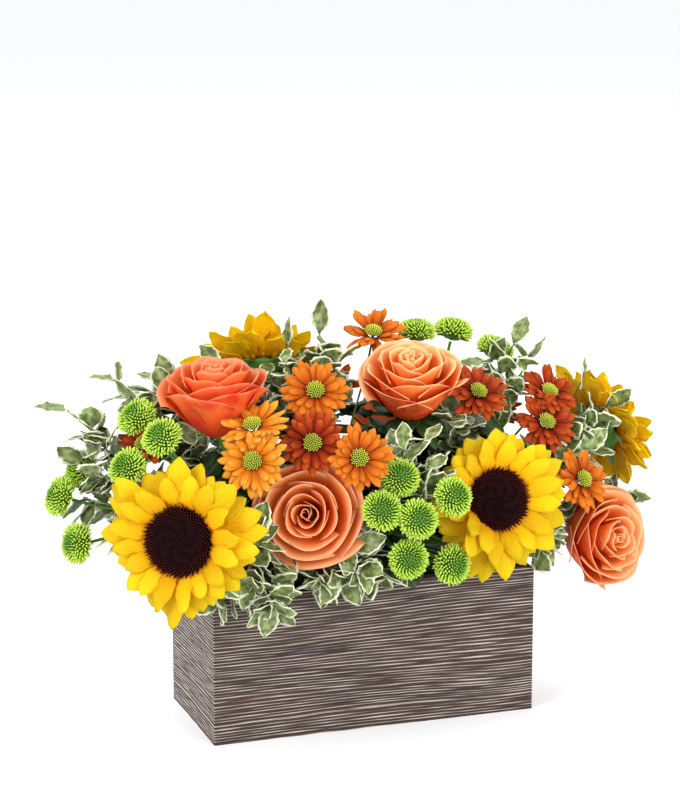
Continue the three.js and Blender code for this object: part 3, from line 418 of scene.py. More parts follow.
class Recipe(Formulas):
    """A Geometry Nodes tree with named inputs, grown on a cloud of points."""

    def __init__(self, name, **inputs):
        self.tree = bpy.data.node_groups.new(name, "GeometryNodeTree")
        face = self.tree.interface
        face.new_socket("Geometry", in_out="INPUT", socket_type="NodeSocketGeometry")
        face.new_socket("Geometry", in_out="OUTPUT", socket_type="NodeSocketGeometry")
        self.identifiers = {}
        for key, value in inputs.items():
            kind = "NodeSocketInt" if isinstance(value, int) else "NodeSocketFloat"
            item = face.new_socket(key, in_out="INPUT", socket_type=kind)
            item.default_value = value
            self.identifiers[key] = item.identifier
        item = face.new_socket("Material", in_out="INPUT", socket_type="NodeSocketMaterial")
        self.identifiers["Material"] = item.identifier
        self.entry = self.tree.nodes.new("NodeGroupInput")

    def size(self, name):
        """A named input of the tree."""
        return Field(self.tree, self.entry.outputs[name])

    def attribute(self, name, kind="FLOAT"):
        return self.made("GeometryNodeInputNamedAttribute", {"Name": name}, "Attribute",
                         data_type=kind)

    def vectors(self, *names):
        """Like attributes, for vectors."""
        return [self.attribute(name, "FLOAT_VECTOR") for name in names]

    def combine(self, x, y, z):
        return self.made("ShaderNodeCombineXYZ", {"X": x, "Y": y, "Z": z})

    def store(self, geometry, name, value):
        return self.made("GeometryNodeStoreNamedAttribute",
                         {"Geometry": geometry, "Name": name, "Value": value},
                         data_type="FLOAT", domain="POINT")

    def profile(self, value, points):
        """A smooth curve through the points, read at the value."""
        node = add(self.tree, "ShaderNodeFloatCurve", {"Value": value})
        curve = node.mapping.curves[0]
        while len(curve.points) < len(points):
            curve.points.new(0.5, 0.5)
        for spot, place in zip(curve.points, points):
            spot.location = place
        node.mapping.update()
        return Field(self.tree, node.outputs[0])

    def sheet_on_points(self):
        """A thin closed net on each point of the input, with s across, t along and its side."""
        net = self.made("GeometryNodeMeshCube", {
            "Size": (2.0, 1.0, 1.0), "Vertices X": self.size("Across"),
            "Vertices Y": self.size("Along"), "Vertices Z": 2,
        })
        x, y, z = self.parts(self.made("GeometryNodeInputPosition"))
        for name, value in (("s", x), ("t", y + 0.5), ("face", z * 2.0)):
            net = self.store(net, name, value)
        spread = self.made("GeometryNodeInstanceOnPoints",
                           {"Points": self.size("Geometry"), "Instance": net})
        return self.made("GeometryNodeRealizeInstances", {"Geometry": spread})

    def finish(self, geometry):
        """The end of every tree: real meshes, shaded smooth, in the material that was put in."""
        real = self.made("GeometryNodeRealizeInstances", {"Geometry": geometry})
        smooth = self.made("GeometryNodeSetShadeSmooth", {"Geometry": real})
        paint = self.made("GeometryNodeSetMaterial",
                          {"Geometry": smooth, "Material": self.size("Material")})
        add(self.tree, "NodeGroupOutput", {0: paint})
        return self

    def finish_sheet(self, net, position):
        """Moves the net's corners to their place, given in mm."""
        return self.finish(self.made("GeometryNodeSetPosition",
                                     {"Geometry": net, "Position": position.scaled(MM)}))

    def run(self, name, rows, material, **sizes):
        """Grows the tree on one point for each row, and gives back a plain mesh."""
        source = points_mesh(name + "_points", rows)
        obj = new_object(name + "_source", source)
        mod = obj.modifiers.new("grow", "NODES")
        mod.node_group = self.tree
        for key, value in {**sizes, "Material": material}.items():
            mod[self.identifiers[key]] = value
        mesh = evaluated(obj)
        mesh.name = name
        bpy.data.meshes.remove(source)
        return mesh


def points_mesh(name, rows):
    """A cloud of points, one for each row: its place, and the row's other values as attributes."""
    mesh = bpy.data.meshes.new(name)
    mesh.from_pydata([tuple(row.get("place", (0, 0, 0))) for row in rows], [], [])
    for key in rows[0]:
        if key == "place":
            continue
        values = np.array([row[key] for row in rows], np.float32)
        kind, part = ("FLOAT_VECTOR", "vector") if values.ndim > 1 else ("FLOAT", "value")
        mesh.attributes.new(key, kind, "POINT").data.foreach_set(part, values.ravel())
    return mesh


@cache
def blade_recipe(kind):
    """Blades, each along its own cubic line b0 to b3, with half width w and unit sides s1, s2."""
    r = Recipe("blades_" + kind, Across=7, Along=12, Thickness=0.4, Cup=0.0, Ruffle=0.0, Ribs=0.0,
               Teeth=0.0)
    net = r.sheet_on_points()
    s, t, face, w, pick = r.attributes("s", "t", "face", "w", "pick")
    b0, b1, b2, b3, s1, s2 = r.vectors("b0", "b1", "b2", "b3", "s1", "s2")
    u = 1.0 - t
    line = b0.scaled(u * u * u).plus(b1.scaled(u * u * t * 3.0))
    line = line.plus(b2.scaled(u * t * t * 3.0)).plus(b3.scaled(t * t * t))
    way = b1.minus(b0).scaled(u * u).plus(b2.minus(b1).scaled(u * t * 2.0))
    way = way.plus(b3.minus(b2).scaled(t * t))
    side = s1.scaled(u).plus(s2.scaled(t)).unit()
    normal = side.cross(way).unit()
    teeth = (t * 43.0 + pick * 6.0).sin() * r.size("Teeth") * s.abs() ** 3.0 + 1.0
    across = s * w * r.profile(t, OUTLINES[kind]) * teeth
    waves = (t * 13.0 + pick * 20.0 + s).sin() + (t * 23.0 - pick * 9.0).sin() * 0.5
    rise = s * s * r.size("Cup") * w
    rise = rise + waves * r.size("Ruffle") * s.abs() ** 1.5 * s.math("SIGN")
    rise = rise + (s * (3.0 * math.pi)).cos() * r.size("Ribs") * u
    rise = rise + face * r.size("Thickness") * 0.5
    return r.finish_sheet(net, line.plus(side.scaled(across)).plus(normal.scaled(rise)))


def rose_recipe():
    """Rose petals: each wraps part of the way round the bloom and rolls out at its rim."""
    r = Recipe("rose_petals", Across=13, Along=12, Thickness=0.45)
    net = r.sheet_on_points()
    s, t, face, rim, low, high, curl, half, angle, pick, lean, base = r.attributes(
        "s", "t", "face", "rim", "low", "high", "curl", "half", "angle", "pick", "lean", "base")
    opening = (t * (math.pi / 2)).sin()
    roll = ((t - 0.55) / 0.45).math("MAXIMUM", 0.0)
    edge = s.abs() ** 2.4
    radius = (rim - base) * opening ** 0.8 + base + curl * roll ** 1.6 * (edge * 0.35 + 0.8)
    radius = radius + s * lean * t + (s * 4.0 + pick * 30.0).sin() * t ** 3.0 * 0.9
    radius = radius + face * r.size("Thickness") * 0.5
    height = (high - low) * t * (1.0 - edge * t * 0.22) + low - curl * roll ** 2.6 * 0.85
    height = height + (s * 7.0 + pick * 11.0).sin() * t ** 4.0 * 0.7
    turn = angle + s * half * (opening ** 0.7 * 0.62 + 0.38)
    return r.finish_sheet(net, r.combine(turn.cos() * radius, turn.sin() * radius, height))


@cache
def floret_recipe():
    """A short pointed floret on each point, aimed along `aim`, with its own girth and length."""
    r = Recipe("florets", Sides=5, Tip=0.25)
    cone = r.made("GeometryNodeMeshCone", {
        "Vertices": r.size("Sides"), "Side Segments": 2, "Radius Bottom": 0.5,
        "Radius Top": r.size("Tip"), "Depth": 1.0,
    }, "Mesh")
    net = r.store(cone, "t", r.parts(r.made("GeometryNodeInputPosition"))[2])
    girth, length = r.attributes("girth", "length")
    return r.finish(r.made("GeometryNodeInstanceOnPoints", {
        "Points": r.size("Geometry"), "Instance": net,
        "Rotation": r.made("FunctionNodeAlignRotationToVector", {"Vector": r.vectors("aim")[0]},
                           axis="Z"),
        "Scale": r.combine(girth, girth, length).scaled(MM),
    }))


# ---- materials


class Paint(Formulas):
    """A material whose node tree is written as formulas."""

    def __init__(self, name, roughness, specular):
        self.mat = bpy.data.materials.new(name)
        self.mat.use_nodes = True
        self.tree = self.mat.node_tree
        self.bsdf = self.tree.nodes["Principled BSDF"]
        self.bsdf.inputs["Roughness"].default_value = roughness
        self.bsdf.inputs["Specular IOR Level"].default_value = specular

    def attribute(self, name):
        return self.made("ShaderNodeAttribute", out="Fac", attribute_name=name)

    def place(self):
        """Where a spot lies on its piece, in metres."""
        return self.made("ShaderNodeTexCoord", out="Object")

    def noise(self, scale, detail=2.0):
        """Noise at a real scale: `scale` features to the metre."""
        return self.made("ShaderNodeTexNoise",
                         {"Vector": self.place(), "Scale": scale, "Detail": detail}, "Fac")

    def grain(self, along, level, stretch, density, detail):
        """Noise drawn out along a board: features to the metre along it and across it."""
        place = self.made("ShaderNodeCombineXYZ", {"X": along * stretch, "Z": level * density})
        return self.made("ShaderNodeTexNoise",
                         {"Vector": place, "Scale": 1.0, "Detail": detail}, "Fac")

    def span(self, value, low, high, top=1.0, kind="LINEAR"):
        """Rises from 0 to `top` while the value goes from low to high."""
        return self.made("ShaderNodeMapRange", {
            "Value": value, "From Min": low, "From Max": high, "To Max": top,
        }, interpolation_type=kind)

    def ramp(self, value, *stops):
        """A colour that goes from stop to stop: (value, colour)."""
        node = add(self.tree, "ShaderNodeValToRGB", {"Fac": value})
        marks = node.color_ramp.elements
        while len(marks) < len(stops):
            marks.new(0.5)
        for mark, (place, _) in zip(marks, stops):
            mark.position = place
        for mark, (_, colour) in zip(marks, stops):
            mark.color = rgba(colour)
        return Field(self.tree, node.outputs[0])

    def mixed(self, share, a, b, blend="MIX"):
        """Colour a with a share of colour b."""
        first, second = (c if isinstance(c, Field) else rgba(c) for c in (a, b))
        return self.made("ShaderNodeMix", {0: share, 6: first, 7: second}, 2,
                         data_type="RGBA", blend_type=blend)

    def shaded(self, colour, tone):
        """The colour, lighter or darker from one blade to the next."""
        grey = self.made("ShaderNodeCombineColor", {"Red": tone, "Green": tone, "Blue": tone})
        return self.mixed(1.0, colour, grey, "MULTIPLY")

    def bump(self, height, distance, strength):
        """Relief that is `distance` metres deep."""
        node = add(self.tree, "ShaderNodeBump",
                   {"Height": height, "Distance": distance, "Strength": strength})
        self.tree.links.new(node.outputs[0], self.bsdf.inputs["Normal"])

    def done(self, colour, through=0.0):
        """Sets the colour. `through` is the share of light that a thin petal or leaf lets by."""
        if isinstance(colour, Field):
            self.tree.links.new(colour.socket, self.bsdf.inputs["Base Color"])
        else:
            self.bsdf.inputs["Base Color"].default_value = rgba(colour)
        if through:
            glow = self.made("ShaderNodeBsdfTranslucent", {"Color": colour})
            surface = Field(self.tree, self.bsdf.outputs[0])
            both = self.made("ShaderNodeMixShader", {0: through, 1: surface, 2: glow})
            self.tree.links.new(both.socket, self.tree.nodes["Material Output"].inputs["Surface"])
        return self.mat


def petal_material(name, base, middle, tip, streak, share, through, reach=0.42):
    """A soft satin petal: colour runs from foot to tip, with fine streaks along it."""
    paint = Paint(name, 0.6, 0.12)
    s, t, pick = paint.attributes("s", "t", "pick")
    body = paint.ramp(t, (0.08, base), (reach, middle), (0.98, tip))
    veins = (s * 19.0 + paint.noise(260, 1.0) * 9.0).sin() * 0.5 + 0.5
    colour = paint.mixed(veins * (1.0 - t * 0.55) * share, body, streak)
    paint.bump(veins, 0.0003, 0.7)
    return paint.done(paint.shaded(colour, pick * 0.24 + 0.86), through)


def rose_material(orange):
    """A velvety rose petal: red-orange at the foot, orange within, peach at the rolled rim.

    The outer faces of the outermost petals are blotched with coral red, and `blush` reddens a
    whole bloom."""
    paint = Paint("rose_petal", 0.55, 0.12)
    t, rank, face, blush = paint.attributes("t", "rank", "face", "blush")
    inner = paint.ramp(t, (0.0, "#F05412"), (0.4, "#FF8E2A"), (0.75, orange), (1.0, "#FFD8A0"))
    outer = paint.ramp(t, (0.0, "#EA4E28"), (0.4, "#FF8034"), (0.8, orange), (1.0, "#FFD09A"))
    back = (face * 0.5 + 0.5).clamped()
    body = paint.mixed(blush * 0.55, paint.mixed(back, inner, outer), "#F24E1C")
    blotch = ((paint.noise(60, 3.0) - 0.38).clamped() * 3.4).clamped()
    red = (blotch * (rank ** 3.0 * back * 0.95 + 0.1)).clamped()
    paint.bump(paint.noise(700), 0.0001, 0.3)
    return paint.done(paint.mixed(red, body, "#E63E2E"), 0.35)


def leaf_material(cream):
    """A leathery grey-green leaf with an uneven cream margin and a faint midrib."""
    paint = Paint("variegated_leaf", 0.42, 0.45)
    s, t, pick = paint.attributes("s", "t", "pick")
    across, blotch = s.abs(), paint.noise(210)
    green = paint.ramp(blotch, (0.35, "#4C6228"), (0.5, "#748748"), (0.66, "#A3AE78"))
    edge = across + (blotch - 0.5) * 0.6 + t ** 9.0 * 0.4
    margin = paint.span(edge, 0.77, 0.85, kind="SMOOTHSTEP")
    rib = (1.0 - across * 14.0).clamped()
    colour = paint.mixed(rib * 0.5, paint.mixed(margin, green, cream), "#B9C79A")
    paint.bump(blotch + rib, 0.0003, 0.5)
    return paint.done(paint.shaded(colour, pick * 0.3 + 0.78), 0.16)


@cache
def dark_leaf_material():
    """A deep green, slightly glossy leaf that stands inside the bouquet."""
    paint = Paint("dark_leaf", 0.45, 0.35)
    rib = (1.0 - paint.attribute("s").abs() * 12.0).clamped()
    body = paint.ramp(paint.noise(120), (0.35, "#142A0C"), (0.65, "#2B4A18"))
    paint.bump(rib, 0.0003, 0.4)
    return paint.done(paint.mixed(rib * 0.35, body, "#5C7A3A"))


def plain_plant(name, light, dark, roughness=0.5):
    """A stem, bract or twig, a little mottled."""
    paint = Paint(name, roughness, 0.35)
    return paint.done(paint.mixed(paint.noise(140, 3.0), dark, light))


def eye_material():
    """Packed florets of a daisy's eye: dark green between them, with yellow tips."""
    paint = Paint("daisy_eye", 0.65, 0.2)
    tips = paint.attribute("t")
    return paint.done(paint.ramp(tips, (0.0, "#5E7A20"), (0.5, "#A8B832"), (1.0, "#CFD04A")))


def disc_material():
    """The sunflower's disc florets: near-black maroon, redder and fuzzier at the rim."""
    paint = Paint("sunflower_disc", 0.75, 0.15)
    t, ring = paint.attributes("t", "ring")
    middle = paint.ramp(t, (0.0, "#0C0104"), (1.0, "#2A060C"))
    rim = paint.ramp(t, (0.0, "#180206"), (0.7, "#3E0B0B"), (1.0, "#6A2410"))
    return paint.done(paint.mixed(paint.span(ring, 0.6, 1.0), middle, rim))


def button_material(lime):
    """Lime florets of a button mum: dark green between them and in the tight centre."""
    paint = Paint("button_mum", 0.55, 0.3)
    t, ring = paint.attributes("t", "ring")
    outer = paint.ramp(t, (0.0, "#5C8A1C"), (0.4, lime), (1.0, "#D2EE62"))
    inner = paint.ramp(t, (0.0, "#44761C"), (1.0, "#8EC43C"))
    return paint.done(paint.mixed(paint.span(ring, 0.05, 0.3), inner, outer), 0.2)


def wood_material(stain, wash):
    """Dark-stained board with a pale brushed grain: lines along the board, about 2.2 mm apart."""
    # in metres: from one pale line to the next, where the end boards start, the spot round which
    # the lines swell, how far they swell there, and how far they wander elsewhere
    line_spacing, end_boards = 0.0022, 0.1138
    swell_x, swell_z, swell_rise, wander = 0.01, 0.03, 0.004, 0.007
    paint = Paint("wood", 0.62, 0.3)
    x, y, z = paint.parts(paint.place())
    along = x + y * 1.7
    bend = paint.grain(along, z, 6.0, 18.0, 1.0)
    near = (along - swell_x) * 20.0
    swell = (near * near * -1.0).math("EXPONENT") * (1.0 - (z - swell_z).abs() * 28.0).clamped()
    level = z + (bend - 0.5) * wander + swell * swell_rise
    fine = paint.grain(along, level, 30.0, 1500.0, 2.0)
    tone = paint.grain(along, level, 3.0, 70.0, 1.0)
    drift = paint.grain(along, level, 2.0, 90.0, 1.0)
    lines = (drift * 16.0 + level * (2 * math.pi / line_spacing)).sin() * 0.22 + 0.5
    grain = lines + (fine - 0.5) * 0.9
    body = paint.ramp(tone, (0.35, "#2C1D17"), (0.65, stain))
    # painted light: both end boards take more of the pale wash, so that they look more brightly lit
    # than the front
    painted_light_ends = x.abs().math("GREATER_THAN", end_boards)
    pale = paint.span(grain + painted_light_ends * 0.07, 0.59, 0.82, top=0.92)
    paint.bump(grain, 0.0006, 0.6)
    return paint.done(paint.mixed(pale, body, wash))


def foam_material():
    """Wet floral foam: dark green, matt and finely pored."""
    paint = Paint("floral_foam", 0.9, 0.15)
    pores = paint.noise(1400)
    paint.bump(pores, 0.0005, 0.6)
    return paint.done(paint.ramp(pores, (0.35, "#0F2410"), (0.6, "#1F3D1B")))


# ---- petals and leaves as blades


def blade(points, side1, side2, half_width, pick, t1=0.33, t2=0.67):
    """One row for a blade: the cubic that passes its four points, the inner two at t1 and t2."""
    def basis(t):
        return (1 - t) ** 3, 3 * (1 - t) ** 2 * t, 3 * (1 - t) * t ** 2, t ** 3

    p0, p1, p2, p3 = points
    a, b = basis(t1), basis(t2)
    r1 = p1 - a[0] * p0 - a[3] * p3
    r2 = p2 - b[0] * p0 - b[3] * p3
    det = a[1] * b[2] - a[2] * b[1]
    b1, b2 = (r1 * b[2] - r2 * a[2]) / det, (r2 * a[1] - r1 * b[1]) / det
    return {"b0": tuple(p0), "b1": tuple(b1), "b2": tuple(b2), "b3": tuple(p3),
            "s1": tuple(side1), "s2": tuple(side2), "w": half_width, "pick": pick}


def petal_line(root, length, lift, curl):
    """The centre line of a petal in its bloom's frame: it grows along +X and bends on its way."""
    def at(t):
        x, z = root, 0.0
        for k in range(4):
            angle = math.radians(lift + curl * t * ((k + 0.5) / 4))
            x += math.cos(angle) * length * t / 4
            z += math.sin(angle) * length * t / 4
        return Vector((x, 0, z))

    return at


def petal(m, root, length, lift, curl, half_width, pick, twist):
    """One row for a petal that grows from `root` off the bloom's axis; its tip is twisted."""
    line = petal_line(root, length, lift, curl)
    turn = m.to_3x3()
    side = (turn @ Vector((0, 1, 0))).normalized()
    leaning = (turn @ Vector((0, math.cos(twist), math.sin(twist)))).normalized()
    return blade([m @ line(t) for t in (0, 0.33, 0.67, 1)], side, leaning, half_width, pick)


def nearest_bend(tree, m, root, length, lift, curl, bends):
    """Which bend the solid's petal took, found on the solid; none if it has no petal there."""
    found = []
    for bend, share in bends:
        line = petal_line(root, length * share, lift + bend, curl)
        found.append((max(tree.find_nearest(m @ line(t))[3] for t in (0.64, 1)), bend, share))
    best = min(found, key=lambda row: row[0])
    return best[1:] if best[0] < BEND_MATCH else None


def bulge(p):
    """How far out a point lies in the bouquet: 1 on an ellipsoid just inside the blooms."""
    away = (p.x, p.y, p.z - BOUQUET_LEVEL)
    return sum((v / half) ** 2 for v, half in zip(away, BOUQUET_HALF))


def inner_leaves(node, wanted, seed, small=1.0, reach=1.0, low=116, high=215):
    """Blades of inner leaves that stand on a node's stems where there is room for them.

    Their feet stand between the levels low and high, and they reach as far out as `bulge` says."""
    co, tris = welded(node)
    centres = co[tris].mean(axis=1)
    normals = np.cross(co[tris[:, 1]] - co[tris[:, 0]], co[tris[:, 2]] - co[tris[:, 0]])
    away = np.min([np.linalg.norm(centres - np.array(c), axis=1) for c in BLOOM_MIDDLES], axis=0)
    fit = np.flatnonzero((centres[:, 2] > low) & (centres[:, 2] < high) & (away > BLOOM_ROOM))
    draw, blades, everything = seeded_draw(seed), [], everything_tree()
    for _ in range(wanted * 40 if len(fit) else 0):
        if len(blades) >= wanted:
            break
        k = fit[int(draw(0, len(fit)))]
        foot, normal = Vector(centres[k]), Vector(normals[k]).normalized()
        outward = Vector((foot.x, foot.y * 3, 0)).normalized()
        at_rim = foot.z < RIM_LEVEL
        way = normal * 0.6 + outward * (draw(0.8, 1.8) if at_rim else draw(-0.2, 0.9))
        way += Vector((draw(-0.6, 0.6), draw(-0.6, 0.6), draw(-0.3, 0.4 if at_rim else 0.9)))
        way.normalize()
        length, width = small * (draw(26, 44) if at_rim else draw(20, 34)), small * draw(7, 11)
        side = way.cross(Vector((draw(-0.4, 0.4), draw(-0.4, 0.4), 1))).normalized()
        points = [foot - normal * 0.3 + way * length * t - Vector((0, 0, length * 0.24 * t * t))
                  for t in (0, 0.33, 0.67, 1)]
        probes = [p + side * d for p in points[1:] for d in (-width * 0.8, 0, width * 0.8)]
        if min(p.z for p in probes) < INNER_FLOOR or max(bulge(p) for p in probes) > reach:
            continue
        if room(everything, probes) < INNER_ROOM:
            continue
        start = points[0].lerp(points[1], 0.4)
        if any(everything.ray_cast(start, (p - start).normalized(), (p - start).length)[0]
               is not None for p in probes[3:]):
            continue
        blades.append(blade(points, side, side, width, draw(0, 1)))
    return blades


def with_dark_leaves(name, meshes, node, wanted, seed):
    """Joins the meshes of a piece with its dark inner leaves and a few low ones at the rim."""
    blades = inner_leaves(node, wanted, seed)
    blades += inner_leaves(node, 14, seed + RIM_DARK_STEP, small=0.85, high=137)
    if blades:
        dark = blade_recipe("leaf").run(name + "_dark", blades, dark_leaf_material(), Across=7,
                                        Along=8, Thickness=0.5, Cup=-0.12, Ruffle=0.5, Ribs=-0.2,
                                        Teeth=0.08)
        meshes = [*meshes, dark]
    return joined(name, meshes)


# ---- sizes


def colour_property(name, description, code):
    """A colour, set from its sRGB hex code."""
    return FloatVectorProperty(name=name, description=description, subtype="COLOR", size=3, min=0,
                               max=1, default=linear(code)[:3])


class CenterpieceSizes(bpy.types.PropertyGroup):
    petal_thickness: FloatProperty(
        name="Petal Thickness", description="Thickness of a sunflower or daisy petal",
        default=0.5 * MM, unit="LENGTH", precision=5)
    leaf_thickness: FloatProperty(
        name="Leaf Thickness", description="Thickness of a variegated leaf",
        default=0.5 * MM, unit="LENGTH", precision=5)
    disc_florets: IntProperty(
        name="Disc Florets", description="Florets on a sunflower's disc", default=620)
    button_florets: IntProperty(
        name="Button Florets", description="Florets on a button mum", default=280)
    eye_florets: IntProperty(
        name="Eye Florets", description="Florets in a daisy's eye", default=70)
    lens: FloatProperty(
        name="Lens", description="Focal length of the stage camera", default=124.1, unit="CAMERA")
    sunflower: colour_property("Sunflower", "Middle of a sunflower petal", "#F3C80C")
    rose: colour_property("Rose", "Upper part of a rose petal", "#FFAA50")
    daisy_orange: colour_property("Orange Daisy", "Middle of an orange daisy petal", "#EA7E18")
    daisy_red: colour_property("Red Daisy", "Middle of a red-brown daisy petal", "#C24414")
    daisy_gold: colour_property("Gold Daisy", "Middle of a gold daisy petal", "#F79A1C")
    button: colour_property("Button Mum", "Middle of a button mum's floret", "#9CC634")
    cream: colour_property("Leaf Margin", "Pale edge of a variegated leaf", "#E9ECCB")
    wood_stain: colour_property("Wood Stain", "Brown of the box between its grain lines", "#3A2921")
    wood_wash: colour_property("Wood Wash", "Pale grain lines of the box", "#C2B5AA")


# ---- box


class CENTERPIECE_OT_box(bpy.types.Operator):
    """Dress the wooden box, its liner and the foam"""
    bl_idname = "centerpiece.box"
    bl_label = "Box, Liner and Foam"
    bl_options = {"REGISTER", "UNDO"}

    def execute(self, context):
        props = context.scene.centerpiece_sizes
        wood = wood_material(props.wood_stain, props.wood_wash)
        for name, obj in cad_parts.items():
            if name.startswith("box_"):
                painted(obj.data, wood)
        # black thermoformed plastic with a soft gloss, which shows at the liner's lip
        painted(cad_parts["liner"].data, Paint("black_plastic", 0.22, 0.5).done("#101010"))
        painted(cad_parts["floral_foam"].data, foam_material())
        return {"FINISHED"}


# ---- sunflowers


def disc_florets(m, disc, total):
    """Rows for a disc's florets, on a spiral from its middle to its shaggy rim."""
    draw, rows = seeded_draw(DISC_SEED), []
    for share, angle in spiral(total):
        lean = 0.15 * share + 3.6 * max(0, share - 0.8)
        rim = max(0, share - 0.55) / 0.45
        length = 1.3 + 1.9 * rim + draw(-0.3, 0.5) * (0.5 + rim)
        high = float(np.interp(share, *DISC_DOME))
        rows.append({
            "place": m @ spoke(angle, disc * share, high) * MM,
            "aim": tuple(m.to_3x3() @ spoke(angle, lean, 1).normalized()),
            "girth": 1.5 + draw(-0.2, 0.3), "length": length, "ring": share,
        })
    return rows


class CENTERPIECE_OT_sunflower_discs(bpy.types.Operator):
    """Cover the sunflowers' discs with spiralling florets"""
    bl_idname = "centerpiece.sunflower_discs"
    bl_label = "Sunflower Discs"
    bl_options = {"REGISTER", "UNDO"}

    def execute(self, context):
        props = context.scene.centerpiece_sizes
        mat = disc_material()
        # the dark ground between the florets
        ground = Paint("disc_ground", 0.9, 0.1).done("#120204")
        for name, (at, heading, lift, disc) in SUNFLOWERS.items():
            m = bloom_frame(at, heading, lift)
            grown = floret_recipe().run(f"florets_{name}",
                                        disc_florets(m, disc, props.disc_florets), mat,
                                        Sides=5, Tip=0.16)
            node = f"sunflower_{name}_disc"
            co, tris = welded(node)
            sunk = m @ Matrix.Translation((0, 0, -CORE_SINK)) @ m.inverted()
            core = mesh_from(f"core_{name}", [sunk @ Vector(c) for c in co], tris)
            pieces = [grown, painted(core, ground)]
            finished(joined(f"disc_{name}", pieces), node)
        return {"FINISHED"}


def outer_rays(m, index, disc, tree):
    """The petals that the solid has: their blades, and how each stands, in order round the disc."""
    draw, extra = seeded_draw(RAY_SEED + index), seeded_draw(RAY_DETAIL_SEED + index)
    blades, stands = [], []
    for k in range(SUN_PETALS):
        angle = k * 360 / SUN_PETALS + draw(-1, 1)
        length = SUN_LENGTH * draw(0.9, 1.08)
        draw(0.9, 1.03)  # the solid drew its petal's width here
        up = (24, 4)[k % 2] + draw(-5, 5)
        curl = (-22, -14)[k % 2] + draw(-10, 10)
        turn = m @ turned(angle)
        bent = nearest_bend(tree, turn, disc, length, up, curl, SUN_BENDS)
        if not bent:
            stands.append(None)
            continue
        up, length = up + bent[0], length * bent[1]
        stands.append((angle, length, up))
        blades.append(petal(turn, disc - 3, length * 1.03 + 3, up, curl, extra(7.2, 9.0),
                            extra(0, 1), extra(-0.5, 0.5)))
    return blades, stands, extra


def between_rays(m, disc, stands, others, extra):
    """Two more petals in each gap, one behind and one in front, where no neighbour is near."""
    blades, curl = [], -16
    for here, there in zip(stands, stands[1:] + stands[:1]):
        if here is None or there is None:
            continue
        for layer in range(2):
            mix = 0.5 + extra(-0.12, 0.12)
            next_angle = there[0] + (360 if there[0] < here[0] - 90 else 0)
            length = (here[1] + there[1]) / 2 * (1.02, 0.9)[layer] * extra(0.84, 1.06)
            up = (min, max)[layer](here[2], there[2]) + (-3, 9)[layer] + extra(-4, 4)
            turn = m @ turned(here[0] * (1 - mix) + next_angle * mix)
            line = petal_line(disc, length, up, curl)
            if room(others, [turn @ line(t) for t in (0.4, 0.7, 1)]) < PETAL_ROOM:
                continue
            blades.append(petal(turn, disc - 4, length + 4, up, curl, (8.0, 6.6)[layer],
                                extra(0, 1), extra(-0.6, 0.6)))
    return blades


class CENTERPIECE_OT_sunflower_petals(bpy.types.Operator):
    """Grow the sunflowers' ray petals in overlapping layers"""
    bl_idname = "centerpiece.sunflower_petals"
    bl_label = "Sunflower Petals"
    bl_options = {"REGISTER", "UNDO"}

    def execute(self, context):
        props = context.scene.centerpiece_sizes
        mat = petal_material("sunflower_petal", "#EFA00E", props.sunflower, "#ECD81E", "#EDA808",
                             0.45, 0.42)
        for index, (name, (at, heading, lift, disc)) in enumerate(SUNFLOWERS.items()):
            node = f"sunflower_{name}_petals"
            others = obstacles(node, f"sunflower_{name}_disc", f"sunflower_{name}_stem")
            m = bloom_frame(at, heading, lift)
            blades, stands, extra = outer_rays(m, index, disc, tree_of([node]))
            blades += between_rays(m, disc, stands, others, extra)
            mesh = blade_recipe("ray").run(f"rays_{name}", blades, mat, Across=11, Along=14,
                                           Thickness=props.petal_thickness / MM, Cup=0.14,
                                           Ruffle=0.8, Ribs=0.4)
            finished(new_object(f"petals_{name}", mesh), node)
        return {"FINISHED"}


class CENTERPIECE_OT_green_stems(bpy.types.Operator):
    """Round off the stems, green backs and hips of the sunflowers and roses"""
    bl_idname = "centerpiece.green_stems"
    bl_label = "Sunflower and Rose Stems"
    bl_options = {"REGISTER", "UNDO"}

    def execute(self, context):
        mat = plain_plant("stem_green", "#5E8A34", "#3D6224")
        for number, node in enumerate(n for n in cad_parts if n.endswith("_stem")):
            green = with_dark_leaves(node + "_green", [cad_rest(node, mat)], node, 30,
                                     STEM_DARK_SEED + number)
            finished(green, node)
        return {"FINISHED"}


# ---- roses


def rose_share(m, others, angle, radius, height, half):
    """How far open a rose petal can stand: its rim closes up where a neighbour is in its way."""
    for share in (1, 0.93, 0.86, 0.78):
        spots = [m @ spoke(angle + a, radius * share, height) for a in (-half * 0.7, 0, half * 0.7)]
        if room(others, spots) > PETAL_ROOM:
            return share
    return 0.7


def rose_petals(m, others, draw, blush):
    """Rows for a rose's petals, ring by ring from the middle."""
    rows = []
    for ring, (count, rim, low, high, curl, half, shift, base) in enumerate(ROSE_RINGS):
        angles = [shift + (k + draw(-0.12, 0.12)) * 2 * math.pi / count for k in range(count)]
        fits = [1.0 if ring < FREE_RINGS else
                rose_share(m, others, angle, rim + curl, high - curl, half) for angle in angles]
        for k, angle in enumerate(angles):
            # a petal that had to close up draws its neighbours in
            share = min(fits[k], fits[k - 1] + 0.1, fits[(k + 1) % count] + 0.1)
            rows.append({
                "angle": angle, "rim": rim * draw(0.95, 1.04) * share, "low": low,
                "high": high * draw(0.97, 1.02), "curl": curl * draw(0.7, 1.25),
                "half": half * draw(0.92, 1.08), "pick": draw(0, 1),
                "rank": ring / (len(ROSE_RINGS) - 1), "lean": draw(0.9, 2.6), "base": base,
                "blush": blush,
            })
    return rows


